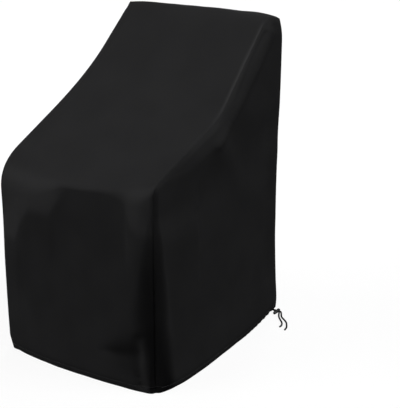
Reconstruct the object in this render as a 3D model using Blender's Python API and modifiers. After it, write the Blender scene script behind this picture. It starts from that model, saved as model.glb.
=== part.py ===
"""A slip-on cover for a high-backed garden chair, in the shape in which it hangs on the chair.

It is sewn from four panels of coated woven cloth. The centre panel runs up the front, back over
the seat and arms, up the slope of the chair's back and over its top. A back panel and two side
panels close it, and its underside is open. A drawcord in the hem comes out at one rear corner,
and its two free ends pass through a push-button cord lock.

Metres, +Z up. The front faces -Y. The frame's origin is on the underside of the top, where the
chair's back holds the cover up.

Three lengths are used for places on the cloth: "x" along X, "out" forward of the back panel's
plane, and "up" above the hem.
"""

import math

import bmesh
import bpy
import numpy as np
from mathutils import Vector

# ---------------------------------------------------------------- driving dimensions, in metres

WIDTH = 0.700  # from one side panel to the other
HEIGHT = 1.200  # from the hem to the top
CLOTH = 0.001  # thickness of the cloth
BACK_Y = 0.035  # the back panel's plane

SEAM_SETBACK = 0.0011  # how far each panel stops short of the seam line
SETBACK_REACH = 0.012  # the cloth is drawn back over this width
FOLD_FADE = 0.018  # the folds die out over this distance from a seam

HEM_CURL = 0.010  # how far the drawn hem turns in
HEM_CURL_REACH = 0.045  # over this height

TOP_SEAM_DEPTH = 0.006  # the seam behind the top lies this far in from the sharp corner
TOP_SEAM_WIDTH = 0.020

SIDE_BULGE = 0.016  # how far the middle of a side panel stands out
SIDE_BULGE_FRONT = 0.20  # it grows over this distance from the front seam
SIDE_BULGE_REAR = 0.55  # and over this distance from the rear seam
SIDE_BULGE_LOSS = 0.60  # it loses this share of itself
SIDE_BULGE_LOSS_FROM, SIDE_BULGE_LOSS_OVER = 0.35, 0.60  # from this height, over this height
BACK_BULGE = 0.010
BACK_BULGE_EDGE = 0.20

CORD_DIAMETER = 0.0068
CORD_POINTS = 44  # points along each cord end

# Neighbouring panels share their grid lines at a seam, so that their edges bend alike.
SIDE_ROWS, TOP_ROWS = 36, 12  # from the hem to the edge of the top, and on to the rear seam
PANEL_COLUMNS, BACK_ROWS = 22, 14

# ------------------------------------------------- the centre panel's course, section by section

# The course of the centre panel is a bent strip. It rises from the hem to the shoulder, leans
# back to the waist, climbs steeply to the edge of the top and ends behind the top. Each bend is
# rounded over the length given on both sides of it. A row is one section across the panel, from
# the side panel on -X, at across = -1, to the side panel on +X, at across = 1.
SECTIONS = (
    ("across", "hem_out", "shoulder_out", "shoulder_up", "shoulder_bend", "waist_out",
     "waist_up", "waist_bend", "top_out", "top_up", "top_bend", "rear_up"),
    (-1.00, 0.802, 0.812, 0.722, 0.105, 0.300, 0.957, 0.190, 0.030, 1.178, 0.026, 1.197),
    (-0.72, 0.822, 0.826, 0.716, 0.095, 0.320, 0.944, 0.150, 0.045, 1.190, 0.034, 1.199),
    (-0.42, 0.834, 0.834, 0.712, 0.070, 0.345, 0.930, 0.110, 0.060, 1.196, 0.040, 1.200),
    (-0.05, 0.838, 0.838, 0.706, 0.026, 0.370, 0.918, 0.090, 0.070, 1.199, 0.040, 1.200),
    (0.32, 0.838, 0.840, 0.716, 0.026, 0.390, 0.908, 0.080, 0.080, 1.200, 0.040, 1.200),
    (0.60, 0.834, 0.840, 0.730, 0.032, 0.410, 0.900, 0.070, 0.095, 1.202, 0.045, 1.200),
    (0.82, 0.828, 0.838, 0.746, 0.060, 0.428, 0.900, 0.065, 0.110, 1.206, 0.050, 1.199),
    (1.00, 0.822, 0.832, 0.764, 0.030, 0.445, 0.900, 0.065, 0.125, 1.209, 0.055, 1.197),
)  # fmt: skip
# The share of the way along the panel at which each bend comes: shoulder, waist, top edge.
SHOULDER_AT, WAIST_AT, TOP_AT = 0.42, 0.68, 0.93

# ------------------------------------------------------------------------------------ the seams

# Where a seam runs, both panels turn in towards it. A row says how far the seam lies in from
# the sharp corner, and over what width each panel turns, by the share of the way along the
# centre panel's edge. Between the hem and the shoulder on +X it is a deep, drawn-in groove.
SEAM_RIGHT = (
    ("along", "centre_depth", "centre_width", "side_depth", "side_width"),
    (0.000, 0.022, 0.050, 0.036, 0.062),
    (0.035, 0.026, 0.075, 0.042, 0.070),
    (0.100, 0.032, 0.120, 0.050, 0.060),
    (0.200, 0.030, 0.095, 0.045, 0.038),
    (0.300, 0.018, 0.050, 0.032, 0.026),
    (0.380, 0.007, 0.022, 0.016, 0.018),
    (0.430, 0.0036, 0.013, 0.0056, 0.014),
    (0.920, 0.0036, 0.013, 0.0050, 0.014),
    (1.000, 0.006, 0.020, 0.006, 0.020),
)
SEAM_LEFT = (
    ("along", "centre_depth", "centre_width", "side_depth", "side_width"),
    (0.000, 0.014, 0.040, 0.014, 0.040),
    (0.035, 0.004, 0.018, 0.003, 0.016),
    (0.200, 0.005, 0.020, 0.004, 0.018),
    (0.320, 0.006, 0.020, 0.008, 0.024),
    (0.430, 0.005, 0.018, 0.009, 0.024),
    (0.600, 0.005, 0.018, 0.010, 0.026),
    (0.900, 0.005, 0.018, 0.009, 0.024),
    (1.000, 0.006, 0.020, 0.006, 0.020),
)
# The two upright seams at the rear corners, by height above the hem.
REAR_RIGHT = (
    ("up", "depth", "width"),
    (0.000, 0.012, 0.036),
    (0.050, 0.005, 0.018),
    (0.160, 0.009, 0.026),
    (0.400, 0.013, 0.034),
    (0.700, 0.011, 0.032),
    (0.950, 0.006, 0.020),
    (1.120, 0.005, 0.018),
    (1.200, 0.006, 0.020),
)
REAR_LEFT = (
    ("up", "depth", "width"),
    (0.000, 0.016, 0.045),
    (0.080, 0.009, 0.028),
    (0.400, 0.010, 0.030),
    (0.800, 0.009, 0.028),
    (1.100, 0.006, 0.020),
    (1.200, 0.006, 0.020),
)

# ---------------------------------------------------------------------------- folds and corners

# Each fold is a soft ridge, or a trough where its height is below 0, along a curve from start
# to end that is drawn towards via. Its cross-section is a bell of the given width.
FOLDS = (
    ("start", "via", "end", "wide", "wide_end", "high", "high_end"),
    # the cloth stands out over the ends of the chair's arms
    ((-0.262, 0.82, 0.68), (-0.27, 0.83, 0.58), (-0.275, 0.83, 0.44), 0.032, 0.016, 0.007, 0.001),
    ((-0.150, 0.83, 0.68), (-0.15, 0.84, 0.64), (-0.145, 0.84, 0.59), 0.045, 0.028, 0.006, 0.003),
    ((0.275, 0.83, 0.71), (0.288, 0.84, 0.66), (0.290, 0.84, 0.60), 0.026, 0.014, 0.007, 0.002),
    # the foot of the front corner on +X, where the drawcord gathers the cloth
    ((0.300, 0.81, 0.25), (0.262, 0.82, 0.17), (0.258, 0.82, 0.02), 0.009, 0.013, 0.005, 0.011),
    ((0.205, 0.83, 0.17), (0.225, 0.83, 0.14), (0.243, 0.83, 0.04), 0.016, 0.020, -0.006, -0.007),
    ((0.120, 0.84, 0.14), (0.180, 0.83, 0.14), (0.245, 0.83, 0.165), 0.008, 0.012, -0.002, -0.006),
    # the side on +X: beside the slope's seam, and from the chair's back to its arm
    ((0.345, 0.145, 1.15), (0.345, 0.235, 1.08), (0.345, 0.33, 0.96), 0.010, 0.008, -0.005, -0.003),
    ((0.345, 0.115, 1.15), (0.345, 0.245, 0.98), (0.345, 0.48, 0.82), 0.020, 0.018, 0.007, 0.005),
    ((0.345, 0.455, 0.82), (0.345, 0.350, 0.69), (0.345, 0.23, 0.56), 0.050, 0.060, 0.010, 0.004),
    ((0.345, 0.790, 0.64), (0.345, 0.650, 0.66), (0.345, 0.50, 0.66), 0.060, 0.070, -0.010, -0.008),
    ((0.345, 0.090, 0.90), (0.345, 0.110, 0.60), (0.345, 0.09, 0.20), 0.030, 0.035, -0.003, -0.004),
    # the slope in front of the chair's back
    ((0.120, 0.13, 1.15), (0.100, 0.25, 1.02), (0.085, 0.42, 0.89), 0.026, 0.034, -0.004, -0.003),
    ((-0.080, 0.11, 1.17), (-0.110, 0.26, 1.00), (-0.200, 0.50, 0.86), 0.050, 0.060, 0.004, 0.003),
    # the side on -X, which hangs as the other does
    ((-0.345, 0.430, 0.82), (-0.345, 0.34, 0.70), (-0.345, 0.25, 0.52), 0.050, 0.065, 0.009, 0.004),
    ((-0.345, 0.780, 0.56), (-0.345, 0.64, 0.60), (-0.345, 0.48, 0.62), 0.060, 0.070, -0.009, -0.007),
    ((-0.345, 0.090, 1.10), (-0.345, 0.23, 0.93), (-0.345, 0.47, 0.80), 0.022, 0.020, 0.006, 0.004),
    ((-0.345, 0.180, 0.70), (-0.345, 0.16, 0.40), (-0.345, 0.20, 0.02), 0.032, 0.045, 0.003, 0.008),
    # the back, in three broad folds
    ((-0.170, 0.0, 1.00), (-0.150, 0.0, 0.50), (-0.190, 0.0, 0.00), 0.040, 0.055, -0.004, -0.009),
    ((0.040, 0.0, 0.90), (0.020, 0.0, 0.45), (0.050, 0.0, 0.00), 0.050, 0.060, 0.003, 0.006),
    ((0.200, 0.0, 1.05), (0.190, 0.0, 0.60), (0.230, 0.0, 0.06), 0.036, 0.046, -0.004, -0.007),
)
FOLD_STEPS = 12  # points read along each fold's curve

# The cloth near each of these places is drawn by the given step, less and less up to its reach.
# The first is the hem's corner that the drawcord lifts. The others round the top's rear corners.
PULLS = (
    ("place", "reach", "step"),
    ((0.350, 0.0, 0.0), 0.260, (0.0, 0.0, 0.034)),
    ((0.350, 0.0, 1.2), 0.100, (-0.012, 0.004, -0.012)),
    ((-0.350, 0.0, 1.2), 0.080, (0.006, 0.004, -0.006)),
)

# ------------------------------------------------------------------- the drawcord and its lock

# The cord lock lies on its side with its barrel along Y. Lengths along it run from the mouth
# of the barrel, where the button goes in, towards its closed end.
LOCK_X, LOCK_Y = 0.3440, 0.0450  # the middle of the cords where they go through
LOCK_RADIUS = 0.0066
BARREL_LENGTH, BARREL_BORE, BARREL_END_WALL = 0.0290, 0.0049, 0.002
BARREL_ROUNDING = 0.0022
CORDS_AT = 0.0130  # from the mouth to the middle of the two cords
CORD_SPACING = 0.0071
CORD_CLEARANCE = 0.0003
STEM_RADIUS, STEM_PAST_CORDS = 0.0046, 0.0021
BUTTON_TRAVEL = 0.0035
NECK_LENGTH = 0.0050  # of the stem in sight between the mouth and the button's cap
CAP_RADIUS, CAP_LENGTH, CAP_ROUNDING = 0.0060, 0.0060, 0.0028
SMALL_CHAMFER = 0.0005
LOCK_STEPS = 32

# The cord ends' routes: x, y, and the height of the middle of the cord above the hem's level.
SHORT_END_ROUTE = (
    (0.3322, 0.0178, 0.0280),
    (0.3322, 0.0250, 0.0222),
    (0.3318, 0.0325, 0.0170),
    (0.3312, 0.0382, 0.0122),
    (0.3326, 0.0410, 0.0085),
    (0.3356, 0.04145, 0.0066),
    (0.3526, 0.04145, 0.0066),
    (0.3562, 0.0398, 0.0060),
    (0.3610, 0.0290, 0.0046),
    (0.3728, 0.0080, 0.0036),
    (0.3900, -0.0125, 0.0035),
    (0.4063, -0.0304, 0.0035),
    (0.4150, -0.0440, 0.0035),
    (0.4200, -0.0580, 0.0035),
    (0.4205, -0.0728, 0.0035),
)
LONG_END_ROUTE = (
    (0.3238, 0.0215, 0.0245),
    (0.3234, 0.0290, 0.0185),
    (0.3226, 0.0372, 0.0148),
    (0.3234, 0.0448, 0.0112),
    (0.3280, 0.0483, 0.0080),
    (0.3352, 0.04855, 0.0066),
    (0.3530, 0.04855, 0.0066),
    (0.3588, 0.0475, 0.0062),
    (0.3645, 0.0415, 0.0052),
    (0.3712, 0.0305, 0.0042),
    (0.3825, 0.0125, 0.0036),
    (0.4055, -0.0068, 0.0035),
    (0.4215, -0.0218, 0.0035),
    (0.4352, -0.0422, 0.0035),
    (0.4460, -0.0650, 0.0035),
    (0.4500, -0.0860, 0.0035),
)

HALF = WIDTH / 2
HEM_Z = CLOTH - HEIGHT  # the top's underside is at z = 0


# ------------------------------------------------------------------------------- small formulas


def fall(t):
    """1 at t = 0, easing down to 0 at t = 1 and beyond: (1 - t) squared."""
    return np.clip(1 - np.abs(t), 0, 1) ** 2


def ease(t):
    """0 up to t = 0 and 1 from t = 1, with a smooth S between: t squared times (3 - 2 t)."""
    t = np.clip(t, 0, 1)
    return t * t * (3 - 2 * t)


def bend(t, half):
    """A ramp that is 0 before t = 0 and t after it, rounded by a parabola over +-half."""
    return np.where(np.abs(t) < half, (t + half) ** 2 / (4 * half), np.maximum(t, 0))


def drawn_back(from_seam):
    """How far a panel's points move away from a seam, so that its edge stops short of it."""
    return SEAM_SETBACK * fall(from_seam / SETBACK_REACH)


def smooth_between(keys, values, at):
    """The rows of `values`, which stand at `keys`, read at the places `at` on smooth cubics.

    Each cubic passes through two rows. Its slope at a row is the harmonic mean of the slopes a
    and b of the two stretches that meet there, 2 a b / (a + b), or 0 where one rises and the
    other falls. So it never swings past the values in the table.
    """
    steep = np.diff(values, axis=0) / np.diff(keys)[:, None]
    a, b = steep[:-1], steep[1:]
    alike = a * b > 0
    mean = np.where(alike, 2 * a * b / np.where(alike, a + b, 1), 0)
    slope = np.vstack([steep[:1], mean, steep[-1:]])
    at = np.clip(np.asarray(at, float), keys[0], keys[-1])
    i = np.clip(np.searchsorted(keys, at, side="right") - 1, 0, len(keys) - 2)
    step = (keys[i + 1] - keys[i])[..., None]
    t = (at - keys[i])[..., None] / step
    smooth = values[i] + (values[i + 1] - values[i]) * ease(t)
    return smooth + step * t * (1 - t) * ((1 - t) * slope[i] - t * slope[i + 1])


def read_table(table, at):
    """Every column of a table by its name, at the values `at` of its first column."""
    rows = np.array(table[1:], float)
    read = smooth_between(rows[:, 0], rows[:, 1:], at)
    return {name: read[..., k] for k, name in enumerate(table[0][1:])}


def rows_of(table):
    """A table's rows, each as a dictionary by the names of its columns."""
    return [dict(zip(table[0], row)) for row in table[1:]]


def fold_height(x, out, up):
    """How far the folds push the cloth outward at each point: the sum of the bells.

    A bell is high * exp(-(distance / wide) squared), with the nearest of the points read
    along the fold's curve, whose width and height run evenly from its start to its end.
    """
    where = np.stack([x, out, up], axis=-1)
    total = np.zeros_like(x)
    share = np.linspace(0, 1, FOLD_STEPS)
    for fold in rows_of(FOLDS):
        curve = np.outer((1 - share) ** 2, fold["start"])
        curve += np.outer(2 * share * (1 - share), fold["via"])
        curve += np.outer(share**2, fold["end"])
        away = np.linalg.norm(where[..., None, :] - curve, axis=-1)
        t = share[away.argmin(axis=-1)]
        wide = fold["wide"] + (fold["wide_end"] - fold["wide"]) * t
        high = fold["high"] + (fold["high_end"] - fold["high"]) * t
        total += high * np.exp(-((away.min(axis=-1) / wide) ** 2))
    return total


def pulled(x, out, up):
    """The points moved by every pull: step * (1 - distance / reach) squared."""
    moved = [x, out, up]
    for pull in rows_of(PULLS):
        offsets = [now - place for now, place in zip((x, out, up), pull["place"])]
        strength = fall(np.sqrt(sum(offset**2 for offset in offsets)) / pull["reach"])
        moved = [now + step * strength for now, step in zip(moved, pull["step"])]
    return moved


def hem_curl(up, from_seam):
    """The hem's turn inward. It dies out towards a seam, whose own depth takes it over."""
    return HEM_CURL * fall(up / HEM_CURL_REACH) * ease(from_seam / HEM_CURL_REACH)


# ------------------------------------------------------------------------- the panels' surfaces


def course(along, across):
    """(out, up) of the centre panel: a bent strip through the points of its section.

    It starts at the hem in the first direction, and at each bend the change of direction is
    added through a rounded ramp.
    """
    at = read_table(SECTIONS, across)
    zero = np.zeros_like(at["hem_out"])
    stops = (0, SHOULDER_AT, WAIST_AT, TOP_AT, 1)
    outs = (at["hem_out"], at["shoulder_out"], at["waist_out"], at["top_out"], zero)
    ups = (zero, at["shoulder_up"], at["waist_up"], at["top_up"], at["rear_up"])
    bends = (at["shoulder_bend"], at["waist_bend"], at["top_bend"])
    runs = np.diff(stops)
    to_out = [(outs[k + 1] - outs[k]) / runs[k] for k in range(4)]
    to_up = [(ups[k + 1] - ups[k]) / runs[k] for k in range(4)]
    out, up = outs[0] + to_out[0] * along, ups[0] + to_up[0] * along
    for k, length in zip((1, 2, 3), bends):
        speed = (np.hypot(to_out[k], to_up[k]) + np.hypot(to_out[k - 1], to_up[k - 1])) / 2
        half = np.minimum(length / speed, 0.98 * min(runs[k - 1], runs[k]))
        ramp = bend(along - stops[k], half)
        out = out + (to_out[k] - to_out[k - 1]) * ramp
        up = up + (to_up[k] - to_up[k - 1]) * ramp
    return out, up


def centre_surface(across, along):
    """(x, out, up) of the centre panel, from side to side and from the hem to behind the top."""
    out, up = course(along, across)
    step = 0.002
    ahead, behind = course(along + step, across), course(along - step, across)
    to_out, to_up = ahead[0] - behind[0], ahead[1] - behind[1]
    length = np.hypot(to_out, to_up)
    normal_out, normal_up = to_up / length, -to_out / length

    right, left = read_table(SEAM_RIGHT, along), read_table(SEAM_LEFT, along)
    from_right, from_left = (1 - across) * HALF, (1 + across) * HALF
    from_seam = np.minimum(from_right, from_left)
    turns = (
        right["centre_depth"] * fall(from_right / right["centre_width"]),
        left["centre_depth"] * fall(from_left / left["centre_width"]),
        TOP_SEAM_DEPTH * fall(out / TOP_SEAM_WIDTH) * (along > WAIST_AT),
    )
    folds = fold_height(across * HALF, out, up) * ease(np.minimum(from_seam, out) / FOLD_FADE)
    height = folds - np.maximum.reduce(turns) - hem_curl(up, from_seam)

    x = across * HALF - right["side_depth"] * (1 + across) / 2
    x = x + left["side_depth"] * (1 - across) / 2
    behind = ease((along - TOP_AT) / (1 - TOP_AT))
    out = out + height * normal_out * (1 - behind) + TOP_SEAM_DEPTH * behind
    return x, out, up + height * normal_up


def blended(back_share, up_share, edges, corners):
    """A Coons patch: the two upright edges blended, plus the two level ones, less the corners."""
    front, rear, low, high = edges
    low_front, low_rear, high_front, high_rear = corners
    a, b = back_share, up_share
    low_line = (1 - a) * low_front + a * low_rear
    high_line = (1 - a) * high_front + a * high_rear
    return (1 - a) * front + a * rear + (1 - b) * (low - low_line) + b * (high - high_line)


def side_surface(side, back_share, up_share):
    """(x, out, up) of a side panel, from its front edge to the rear and from hem to top.

    Its outline is the centre panel's edge and the upright rear seam, with a patch between. It
    stands out by its bulge and folds, and turns in towards both seams.
    """
    seam, rear = (SEAM_RIGHT, REAR_RIGHT) if side > 0 else (SEAM_LEFT, REAR_LEFT)
    edge = np.full_like(up_share, float(side))
    zero, one = np.zeros_like(up_share), np.ones_like(up_share)
    front_out, front_up = centre_surface(edge, up_share * TOP_AT)[1:]
    top_out, top_up = centre_surface(edge, TOP_AT + back_share * (1 - TOP_AT))[1:]
    low_out = centre_surface(edge, zero)[1]
    peak_out, peak_up = centre_surface(edge, TOP_AT * one)[1:]
    corner_out, corner_up = centre_surface(edge, one)[1:]
    rear_up = front_up / peak_up * corner_up
    rear_out, foot_out = read_table(rear, rear_up)["depth"], read_table(rear, zero)["depth"]
    hem_out = low_out + (foot_out - low_out) * back_share
    out = blended(back_share, up_share, (front_out, rear_out, hem_out, top_out),
                  (low_out, foot_out, peak_out, corner_out))  # fmt: skip
    up = blended(back_share, up_share, (front_up, rear_up, zero, top_up),
                 (zero, zero, peak_up, corner_up))  # fmt: skip

    line = np.linspace(0, 1, 400)
    seam_out, seam_up = centre_surface(np.full_like(line, float(side)), line)[1:]
    to_out, to_up = np.gradient(seam_out), np.gradient(seam_up)
    away = np.hypot(out[..., None] - seam_out, up[..., None] - seam_up)
    nearest, from_front = away.argmin(axis=-1), away.min(axis=-1)
    from_front = np.where((back_share == 0) | (up_share == 1), 0, from_front)
    from_rear = np.maximum(out - read_table(rear, up)["depth"], 0)
    back_off, forward = drawn_back(from_front), drawn_back(from_rear)
    length = np.hypot(to_out, to_up)[nearest]
    out = out - back_off * to_up[nearest] / length + forward
    up = up + back_off * to_out[nearest] / length
    from_front, from_rear = from_front + back_off, from_rear + forward

    front, behind = read_table(seam, line[nearest]), read_table(rear, up)
    turn = np.maximum(
        front["side_depth"] * fall(from_front / front["side_width"]),
        behind["depth"] * fall(from_rear / behind["width"]),
    )
    from_seam = np.minimum(from_front, from_rear)
    bulge = SIDE_BULGE * ease(from_front / SIDE_BULGE_FRONT) * ease(from_rear / SIDE_BULGE_REAR)
    bulge = bulge * (1 - SIDE_BULGE_LOSS * ease((up - SIDE_BULGE_LOSS_FROM) / SIDE_BULGE_LOSS_OVER))
    folds = fold_height(edge * HALF, out, up) * ease(from_seam / FOLD_FADE)
    return side * (HALF + bulge + folds - turn - hem_curl(up, from_seam)), out, up


def back_surface(across, up_share):
    """(x, out, up) of the back panel, which hangs from the seam behind the top."""
    top_up = centre_surface(across, np.ones_like(across))[2]
    up = up_share * top_up
    right, left = read_table(REAR_RIGHT, up), read_table(REAR_LEFT, up)
    from_right, from_left = (1 - across) * HALF, (1 + across) * HALF
    turns = (
        right["depth"] * fall(from_right / right["width"]),
        left["depth"] * fall(from_left / left["width"]),
        TOP_SEAM_DEPTH * fall((top_up - up) / TOP_SEAM_WIDTH),
    )
    from_seam = np.minimum(np.minimum(from_right, from_left), top_up - up)
    bulge = BACK_BULGE * ease(from_seam / BACK_BULGE_EDGE)
    folds = fold_height(across * HALF, np.zeros_like(up), up) * ease(from_seam / FOLD_FADE)
    x = across * HALF - right["depth"] * (1 + across) / 2 + left["depth"] * (1 - across) / 2
    return x, np.maximum.reduce(turns) - folds - bulge + hem_curl(up, from_seam), up


# ------------------------------------------------------------------------------- Blender's part


def clear_scene():
    for obj in list(bpy.data.objects):
        bpy.data.objects.remove(obj, do_unlink=True)


def new_collection(name, hidden=False):
    collection = bpy.data.collections.new(name)
    bpy.context.scene.collection.children.link(collection)
    collection.hide_render = hidden
    return collection


def principled(name, colour, roughness):
    material = bpy.data.materials.new(name)
    material.use_nodes = True
    shader = material.node_tree.nodes["Principled BSDF"]
    shader.inputs["Base Color"].default_value = (*colour, 1.0)
    shader.inputs["Roughness"].default_value = roughness
    material.diffuse_color = (*colour, 1.0)
    return material


def put_in(collection, obj, material=None):
    for old in list(obj.users_collection):
        old.objects.unlink(obj)
    collection.objects.link(obj)
    if material:
        obj.data.materials.clear()
        obj.data.materials.append(material)
    return obj


def crowded(t, places, width=0.06, weight=2.5):
    """Grid lines from 0 to 1, moved so that they stand closer near each of the places."""
    fine = np.linspace(0, 1, 500)
    density = 1 + weight * sum(np.exp(-(((fine - place) / width) ** 2)) for place in places)
    total = np.cumsum(density) - density[0]
    return np.interp(t, total / total[-1], fine)


def cloth_panel(name, surface, columns, rows, collection, material):
    """A grid whose own u and v, 0 to 1, are carried to a surface, with the cloth's thickness."""
    bpy.ops.mesh.primitive_grid_add(x_subdivisions=columns, y_subdivisions=rows, size=1)
    obj = bpy.context.object
    obj.name = obj.data.name = name
    mesh = obj.data
    flat = np.empty(len(mesh.vertices) * 3)
    mesh.vertices.foreach_get("co", flat)
    u, v = np.round(flat.reshape(-1, 3)[:, :2].T + 0.5, 6)
    x, out, up = pulled(*surface(u, v))
    mesh.vertices.foreach_set("co", np.stack([x, BACK_Y - out, HEM_Z + up], axis=-1).ravel())
    outward = bmesh.new()
    outward.from_mesh(mesh)
    outward.normal_update()
    inside = Vector((0, BACK_Y - 0.4, HEM_Z + 0.5))
    if sum(f.normal.dot(f.calc_center_median() - inside) for f in outward.faces) < 0:
        bmesh.ops.reverse_faces(outward, faces=outward.faces)
    outward.to_mesh(mesh)
    outward.free()
    mesh.shade_smooth()
    solid = obj.modifiers.new("cloth", "SOLIDIFY")
    solid.thickness = CLOTH
    solid.offset = -1
    solid.use_even_offset = True
    return put_in(collection, obj, material)


def rising(v):
    """Shares of the way from the hem to the edge of the top, closer together at the bends."""
    return crowded(v, (0, SHOULDER_AT / TOP_AT, 1))


def centre_panel(u, v):
    across = (2 * crowded(u, (0, 1)) - 1) * (1 - SEAM_SETBACK / HALF)
    split = SIDE_ROWS / (SIDE_ROWS + TOP_ROWS)
    behind = TOP_AT + (1 - TOP_AT) * crowded((v - split) / (1 - split), (0, 1))
    along = np.where(v > split, behind, TOP_AT * rising(v / split))
    x, out, up = centre_surface(across, along)
    return x, out + np.where(along > TOP_AT, drawn_back(out - TOP_SEAM_DEPTH), 0), up


def side_panel(side):
    def surface(u, v):
        return side_surface(side, crowded(u, (0, 1)), rising(v))

    return surface


def back_panel(u, v):
    across = (2 * crowded(u, (0, 1)) - 1) * (1 - SEAM_SETBACK / HALF)
    x, out, up = back_surface(across, crowded(v, (0, 1)))
    top_up = centre_surface(across, np.ones_like(across))[2]
    return x, out, up - drawn_back(top_up - up)


def smooth_route(route, count):
    """Evenly spaced points on the smooth curve through a route's points."""
    points = np.array(route, float)
    fine = smooth_between(np.arange(len(points)), points, np.linspace(0, len(points) - 1, 400))
    length = np.concatenate([[0], np.cumsum(np.linalg.norm(np.diff(fine, axis=0), axis=1))])
    even = np.linspace(0, length[-1], count)
    return np.column_stack([np.interp(even, length, fine[:, k]) for k in range(3)])


def cord_end(name, route, collection, material):
    """A free end of the drawcord: a round tube along its route."""
    curve = bpy.data.curves.new(name, "CURVE")
    curve.dimensions = "3D"
    curve.bevel_depth = CORD_DIAMETER / 2
    curve.bevel_resolution = 2
    curve.use_fill_caps = True
    points = smooth_route(route, CORD_POINTS)
    spline = curve.splines.new("POLY")
    spline.points.add(len(points) - 1)
    for point, (x, y, up) in zip(spline.points, points):
        point.co = (x, y, HEM_Z + up, 1)
    return put_in(collection, bpy.data.objects.new(name, curve), material)


def turned(name, profile, collection, material):
    """A round piece: a profile of (radius, length) turned about the lock's axis."""
    mesh = bpy.data.meshes.new(name)
    edges = [(i, i + 1) for i in range(len(profile) - 1)]
    mesh.from_pydata([(radius, 0, length) for radius, length in profile], edges, [])
    obj = put_in(collection, bpy.data.objects.new(name, mesh), material)
    screw = obj.modifiers.new("turn", "SCREW")
    screw.steps = screw.render_steps = LOCK_STEPS
    screw.use_merge_vertices = True
    screw.merge_threshold = 0.00001
    screw.use_smooth_shade = True
    obj.rotation_euler = (-math.pi / 2, 0, 0)
    obj.location = (LOCK_X, LOCK_Y - CORDS_AT, HEM_Z + LOCK_RADIUS)
    return obj


def cut_slot(obj, name, start, end, cutters):
    """Cuts the slot for the two cords across a turned piece, from start to end along it."""
    height = CORD_DIAMETER + CORD_CLEARANCE
    mesh = bpy.data.meshes.new(name)
    shape = bmesh.new()
    bmesh.ops.create_cube(shape, size=1)
    bmesh.ops.scale(shape, vec=(4 * LOCK_RADIUS, height, end - start), verts=shape.verts)
    crosswise = [e for e in shape.edges if e.calc_length() > 2 * LOCK_RADIUS]
    bmesh.ops.bevel(
        shape, geom=crosswise, offset=0.48 * height, segments=5, profile=0.5, affect="EDGES"
    )
    shape.to_mesh(mesh)
    shape.free()
    cutter = put_in(cutters, bpy.data.objects.new(name, mesh))
    cutter.hide_render = True
    cutter.display_type = "WIRE"
    cutter.rotation_euler = obj.rotation_euler
    cutter.location = (LOCK_X, LOCK_Y - CORDS_AT + (start + end) / 2, HEM_Z + LOCK_RADIUS)
    cut = obj.modifiers.new("cord slot", "BOOLEAN")
    cut.operation = "DIFFERENCE"
    cut.solver = "EXACT"
    cut.object = cutter


def cord_lock(parts, cutters, material, button_material):
    """The barrel and its push button. Pressed, the button's slot lines up with the barrel's."""
    cords = CORD_SPACING + CORD_DIAMETER + CORD_CLEARANCE
    slot_start, slot_end = CORDS_AT - cords / 2, CORDS_AT + cords / 2
    radius, end, chamfer = LOCK_RADIUS, BARREL_LENGTH, SMALL_CHAMFER
    floor = BARREL_LENGTH - BARREL_END_WALL
    barrel = turned(
        "cord_lock_barrel",
        (
            (0, end),
            (radius - BARREL_ROUNDING, end),
            (radius - 0.3 * BARREL_ROUNDING, end - 0.3 * BARREL_ROUNDING),
            (radius, end - BARREL_ROUNDING),
            (radius, chamfer),
            (radius - chamfer, 0),
            (BARREL_BORE, 0),
            (BARREL_BORE, floor),
            (0, floor),
        ),
        parts,
        material,
    )
    cut_slot(barrel, "barrel_slot", slot_start, slot_end, cutters)
    tip, low = slot_end + STEM_PAST_CORDS, -NECK_LENGTH - CAP_LENGTH
    button = turned(
        "cord_lock_button",
        (
            (0, tip),
            (STEM_RADIUS - chamfer, tip),
            (STEM_RADIUS, tip - chamfer),
            (STEM_RADIUS, -NECK_LENGTH),
            (CAP_RADIUS - chamfer, -NECK_LENGTH),
            (CAP_RADIUS, -NECK_LENGTH - chamfer),
            (CAP_RADIUS, low + 0.5 * CAP_ROUNDING),
            (CAP_RADIUS - 0.4 * CAP_ROUNDING, low + 0.1 * CAP_ROUNDING),
            (CAP_RADIUS - CAP_ROUNDING, low),
            (0, low),
        ),
        parts,
        button_material,
    )
    cut_slot(button, "button_slot", slot_start - BUTTON_TRAVEL, slot_end, cutters)


def main():
    clear_scene()
    parts = new_collection("garden_chair_cover")
    cutters = new_collection("cutters", hidden=True)
    cloth = principled("coated black cloth", (0.018, 0.018, 0.019), 0.62)
    cord = principled("black braided cord", (0.022, 0.022, 0.023), 0.80)
    barrel_plastic = principled("black moulded plastic", (0.020, 0.020, 0.021), 0.45)
    button_plastic = principled("black button plastic", (0.024, 0.024, 0.025), 0.40)

    cloth_panel("centre_panel", centre_panel, PANEL_COLUMNS, SIDE_ROWS + TOP_ROWS, parts, cloth)
    cloth_panel("side_panel_left", side_panel(-1), TOP_ROWS, SIDE_ROWS, parts, cloth)
    cloth_panel("side_panel_right", side_panel(1), TOP_ROWS, SIDE_ROWS, parts, cloth)
    cloth_panel("back_panel", back_panel, PANEL_COLUMNS, BACK_ROWS, parts, cloth)
    cord_end("drawcord_end_short", SHORT_END_ROUTE, parts, cord)
    cord_end("drawcord_end_long", LONG_END_ROUTE, parts, cord)
    cord_lock(parts, cutters, barrel_plastic, button_plastic)


main()
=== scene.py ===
# %% [markdown]
# # A slip-on cover for a high-backed garden chair
#
# The real thing is sewn from four panels of black coated cloth and pulled over a chair. The
# centre panel runs up the front, back over the seat and arms, up the slope of the chair's back
# and over its top. Two side panels and a back panel close it, and its underside is open. A
# drawcord runs in the hem and comes out at one rear corner through a push-button cord lock.
#
# Everything is in metres with +Z up, in the frame of the packed CAD model. The frame is loaded
# first, because each piece made below stands exactly where a CAD part says it stands.

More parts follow.
